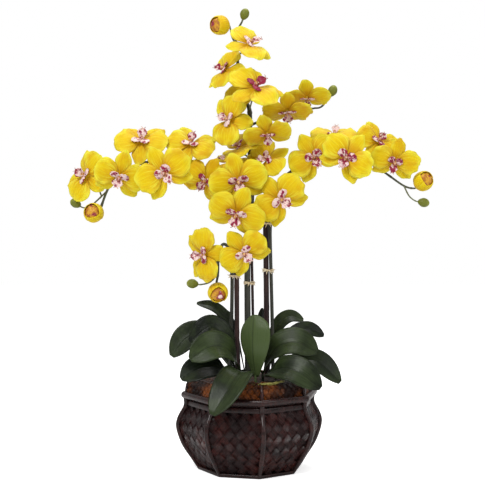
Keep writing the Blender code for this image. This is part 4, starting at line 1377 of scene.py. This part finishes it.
def wall_point(table, side, x, s, spread):
    """Place and outward normal on one side of the pot; None beyond its corners."""
    low, high = table[0][1], table[-1][1]
    length = table[-1][0]
    if not -0.01 <= s <= length + 0.01:
        return None
    index = 0
    while index < len(table) - 2 and table[index + 1][0] < s:
        index += 1
    (s0, h0), (s1, h1) = table[index], table[index + 1]
    height = h0 + (h1 - h0) * (s - s0) / max(s1 - s0, 1e-6)
    if abs(x) > profile_at(height) * math.sin(HALF_SIDE) + spread:
        return None
    cos = math.cos(HALF_SIDE)
    ang = math.radians(POT_TURN) + HALF_SIDE * (2 * side + 1)
    out = Vector((math.sin(ang), -math.cos(ang), 0.0))
    right = Vector((math.cos(ang), math.sin(ang), 0.0))
    above, below = min(high, height + 2), max(low, height - 2)
    lean = (profile_at(above) - profile_at(below)) * cos
    normal = (out * (above - below) - Vector((0, 0, lean))).normalized()
    return out * (profile_at(height) * cos) + right * x + Vector((0, 0, height)), normal


def woven_panel(name, low, high, pitch, side, lift, spread):
    """One side of the basket: two sets of slanting flat strips that pass over and under."""
    table = arc_table(low, high)
    length = table[-1][0]
    widest = max(profile_at(h) for _, h in table) * math.sin(HALF_SIDE) + spread
    lean = math.radians(STRIP_LEAN)
    ways = (Vector((math.cos(lean), math.sin(lean))), Vector((-math.cos(lean), math.sin(lean))))
    gap = pitch / math.sin(2 * lean)
    strip = pitch * STRIP_WIDTH
    cuts = 5
    step = pitch / 6.0
    reach = widest / math.cos(lean) + length / math.sin(lean)
    verts, faces, uvs, crowns = [], [], [], []
    for family in (0, 1):
        own, other = ways[family], ways[1 - family]
        square = Vector((-own.y, own.x))
        for k in range(-int(reach / gap) - 1, int(reach / gap) + 2):
            rows = {}
            for i in range(int(2 * reach / step) + 1):
                t = -reach + i * step
                wave = math.sin(math.pi * t / gap + math.pi * k) * (1.0 if family == 0 else -1.0)
                rise = lift + 1.10 + 0.95 * max(-1.0, min(1.0, wave * 1.4))
                row = []
                for j in range(cuts):
                    u = j / (cuts - 1)
                    place = own * t + other * ((k + 0.5) * gap) + square * ((u - 0.5) * strip)
                    found = wall_point(table, side, place.x, place.y + length / 2, spread)
                    if found is None:
                        break
                    arch = 0.35 * (1.0 - (2 * u - 1) ** 4)
                    row.append((found[0] + found[1] * (rise + arch), u, (wave + 1) / 2))
                if len(row) < cuts:
                    continue
                index = len(verts)
                rows[i] = index
                for point, u, crown in row:
                    verts.append(point * MM)
                    uvs.append((t / pitch * 0.5, u))
                    crowns.append(crown)
                if i - 1 in rows:
                    prev = rows[i - 1]
                    for j in range(cuts - 1):
                        faces.append((prev + j, index + j, index + j + 1, prev + j + 1))
    obj = mesh_object(name, verts, faces)
    mesh = obj.data
    layer = mesh.uv_layers.new(name="UVMap")
    for loop in mesh.loops:
        layer.data[loop.index].uv = uvs[loop.vertex_index]
    # crown: how high each strip rides, 1 on top and 0 where it dips under; the weave finish darkens the low
    # parts as painted shade
    set_point_attribute(obj, "crown", crowns)
    middle = sum((Vector(v) for v in verts), Vector()) / len(verts)
    if sum(p.normal.dot(middle * Vector((1, 1, 0))) for p in mesh.polygons) < 0:
        mesh.flip_normals()
    modify(obj, "SOLIDIFY", thickness=STRIP_THICKNESS * MM, offset=-1.0)
    return smooth(obj, 50)


class OBJECT_OT_orchid_pot(bpy.types.Operator):
    """Make the plaited sides, collar, bands, ribs and rail of the pot"""
    bl_idname = "object.orchid_pot"
    bl_label = "Basket Pot"

    def execute(self, context):
        pitch = context.scene.orchid_pot.strip_pitch / MM
        lower = [woven_panel("panel", 3.0, 111.0, pitch, side, 0.2, 3.0) for side in range(POT_SIDES)]
        for k, panel in enumerate(lower):
            panel.name = f"pot_side_{k + 1}"
            finish_piece(panel, None, finish("weave"))
        collar = [woven_panel("collar", 125.0, 153.5, pitch * COLLAR_PITCH, side, 0.4, 1.0)
                  for side in range(POT_SIDES)]
        ring = join(collar, "pot_collar_weave")
        finish_piece(ring, None, finish("collar"))
        dress(cad_node("pot_basket"), finish("backing"))
        self.frame_parts()
        return {"FINISHED"}

    def corner(self, k, radius, height):
        """Place on one corner line of the pot."""
        ang = math.radians(POT_TURN) + HALF_SIDE * 2 * k
        return Vector((math.sin(ang) * radius, -math.cos(ang) * radius, height))

    def hoop(self, name, section):
        """Eight-sided hoop: a square tube profile carried round the corners, then rounded."""
        verts = [self.corner(k, radius, height) for k in range(POT_SIDES) for radius, height in section]
        count = len(section)
        faces = []
        for k in range(POT_SIDES):
            n = (k + 1) % POT_SIDES
            for i in range(count):
                j = (i + 1) % count
                faces.append((k * count + i, n * count + i, n * count + j, k * count + j))
        obj = only(mesh_object(name, verts, faces))
        bpy.ops.object.mode_set(mode="EDIT")
        bpy.ops.mesh.select_all(action="SELECT")
        bpy.ops.mesh.normals_make_consistent(inside=False)
        bpy.ops.object.mode_set(mode="OBJECT")
        modify(obj, "BEVEL", width=1.6, segments=3, limit_method="ANGLE", angle_limit=math.radians(15))
        return smooth(obj, 50)

    def frame_parts(self):
        """Rail, foot, waist band, ribs and the seams under them, as one lacquered frame."""
        parts = [self.hoop(name, section) for name, section in HOOPS]
        for k in range(POT_SIDES):
            low = [self.corner(k, radius + 2.9, height) for radius, height in POT_PROFILE[1:8]]
            low[0] = self.corner(k, 86.1, 2.0)
            low[-1] = self.corner(k, 109.0, 122.5)
            line = spline(low, 6)
            radii = [2.4 + 1.6 * min(1.0, i / 8) for i in range(len(line))]
            parts.append(bar("rib", line, radii, sides=4))
            seam = spline([self.corner(k, r + 0.4, h) for r, h in POT_PROFILE[:9]], 3)
            parts.append(bar("seam", seam, [2.6] * len(seam), sides=2))
            high = [self.corner(k, 108.5, 128.0), self.corner(k, 105.5, 144.0), self.corner(k, 98.0, 149.5),
                    self.corner(k, 84.0, 153.0)]
            parts.append(bar("rib", spline(high, 4), [2.6] * 9 + [2.3, 2.0, 1.6, 1.0], sides=4))
        whole = join(parts, "pot_frame_lacquered")
        to_metres(whole)
        finish_piece(whole, "pot_frame", finish("frame"))


# ------------------------------------------------------------------ stage
FLOOR_SIZE = 14.0
FLOOR_GLOW = 0.62
ROOM_LIGHT = 0.50
AIM = (0, 0, 0.42)
CAMERA_SIDE = -0.0125
# Soft lights: name, place, power in watts, size
LIGHTS = [("key", (-1.0, -1.9, 2.2), 44.0, 0.8),
          ("fill", (1.8, -1.5, 1.4), 13.0, 1.2),
          ("top", (0.2, 0.5, 2.4), 26.0, 1.4)]


class OBJECT_OT_orchid_stage(bpy.types.Operator):
    """Make the floor, lights and camera"""
    bl_idname = "object.orchid_stage"
    bl_label = "Stage"

    def execute(self, context):
        s = context.scene.orchid_stage
        bpy.ops.mesh.primitive_plane_add(size=FLOOR_SIZE, location=(0, 0, 0))
        floor = fresh("floor")
        mat, n, shader = new_material("floor_pale")
        tone = n.noise(object_place(n), 3.0, 2.0, 0.5)
        n.wire(n.mix(tone, (0.86, 0.86, 0.86), (0.90, 0.90, 0.90)), shader.inputs["Base Color"])
        shader.inputs["Roughness"].default_value = 0.8
        seen = n.add("ShaderNodeLightPath").outputs["Is Camera Ray"]
        n.wire(n.mix(seen, (0, 0, 0), (1, 1, 1)), shader.inputs["Emission Color"])
        shader.inputs["Emission Strength"].default_value = FLOOR_GLOW
        floor.data.materials.append(mat)
        world = bpy.data.worlds.new("studio")
        context.scene.world = world
        world.use_nodes = True
        back = world.node_tree.nodes["Background"]
        back.inputs["Color"].default_value = (1.0, 1.0, 1.0, 1.0)
        rays = world.node_tree.nodes.new("ShaderNodeLightPath")
        level = world.node_tree.nodes.new("ShaderNodeMapRange")
        level.inputs["To Min"].default_value = ROOM_LIGHT
        level.inputs["To Max"].default_value = 1.0
        world.node_tree.links.new(rays.outputs["Is Camera Ray"], level.inputs["Value"])
        world.node_tree.links.new(level.outputs["Result"], back.inputs["Strength"])
        for name, place, power, size in LIGHTS:
            light = bpy.data.lights.new(name, "AREA")
            light.energy = power
            light.size = size
            lamp = bpy.data.objects.new(name, light)
            lamp.location = place
            aim = Vector(AIM) - Vector(place)
            lamp.rotation_euler = aim.to_track_quat("-Z", "Y").to_euler()
            context.scene.collection.objects.link(lamp)
        camera = bpy.data.objects.new("camera", bpy.data.cameras.new("camera"))
        camera.data.lens = s.lens
        camera.data.sensor_width = 36.0
        camera.location = (CAMERA_SIDE, -s.distance, s.height)
        camera.rotation_euler = (math.radians(90), 0, 0)
        context.scene.collection.objects.link(camera)
        context.scene.camera = camera
        context.scene.view_settings.view_transform = "Standard"
        return {"FINISHED"}


OPERATORS = [OBJECT_OT_orchid_pot, OBJECT_OT_orchid_moss, OBJECT_OT_orchid_leaves, OBJECT_OT_orchid_stems,
             OBJECT_OT_orchid_stakes, OBJECT_OT_orchid_blooms, OBJECT_OT_orchid_half_open,
             OBJECT_OT_orchid_stage]


class VIEW3D_PT_orchid(bpy.types.Panel):
    """Sizes, colours and parts of the potted orchid"""
    bl_label = "Potted Orchid"
    bl_idname = "VIEW3D_PT_orchid"
    bl_space_type = "VIEW_3D"
    bl_region_type = "UI"
    bl_category = "Orchid"

    def draw(self, context):
        scene = context.scene
        for group in (scene.orchid_petal, scene.orchid_lip, scene.orchid_green, scene.orchid_pot,
                      scene.orchid_stage):
            box = self.layout.box()
            for key in group.bl_rna.properties.keys():
                if key not in ("rna_type", "name"):
                    box.prop(group, key)
        for operator in OPERATORS:
            self.layout.operator(operator.bl_idname)


GROUPS = {"orchid_petal": PetalSettings, "orchid_lip": LipSettings, "orchid_green": GreenSettings,
          "orchid_pot": PotSettings, "orchid_stage": StageSettings}


def register():
    for cls in (*GROUPS.values(), *OPERATORS, VIEW3D_PT_orchid):
        bpy.utils.register_class(cls)
    for name, cls in GROUPS.items():
        setattr(bpy.types.Scene, name, PointerProperty(type=cls))


def unregister():
    for name in GROUPS:
        delattr(bpy.types.Scene, name)
    for cls in (VIEW3D_PT_orchid, *reversed(OPERATORS), *reversed(list(GROUPS.values()))):
        bpy.utils.unregister_class(cls)


def main():
    register()
    for operator in OPERATORS:
        group, call = operator.bl_idname.split(".")
        getattr(getattr(bpy.ops, group), call)()


if __name__ == "__main__":
    main()
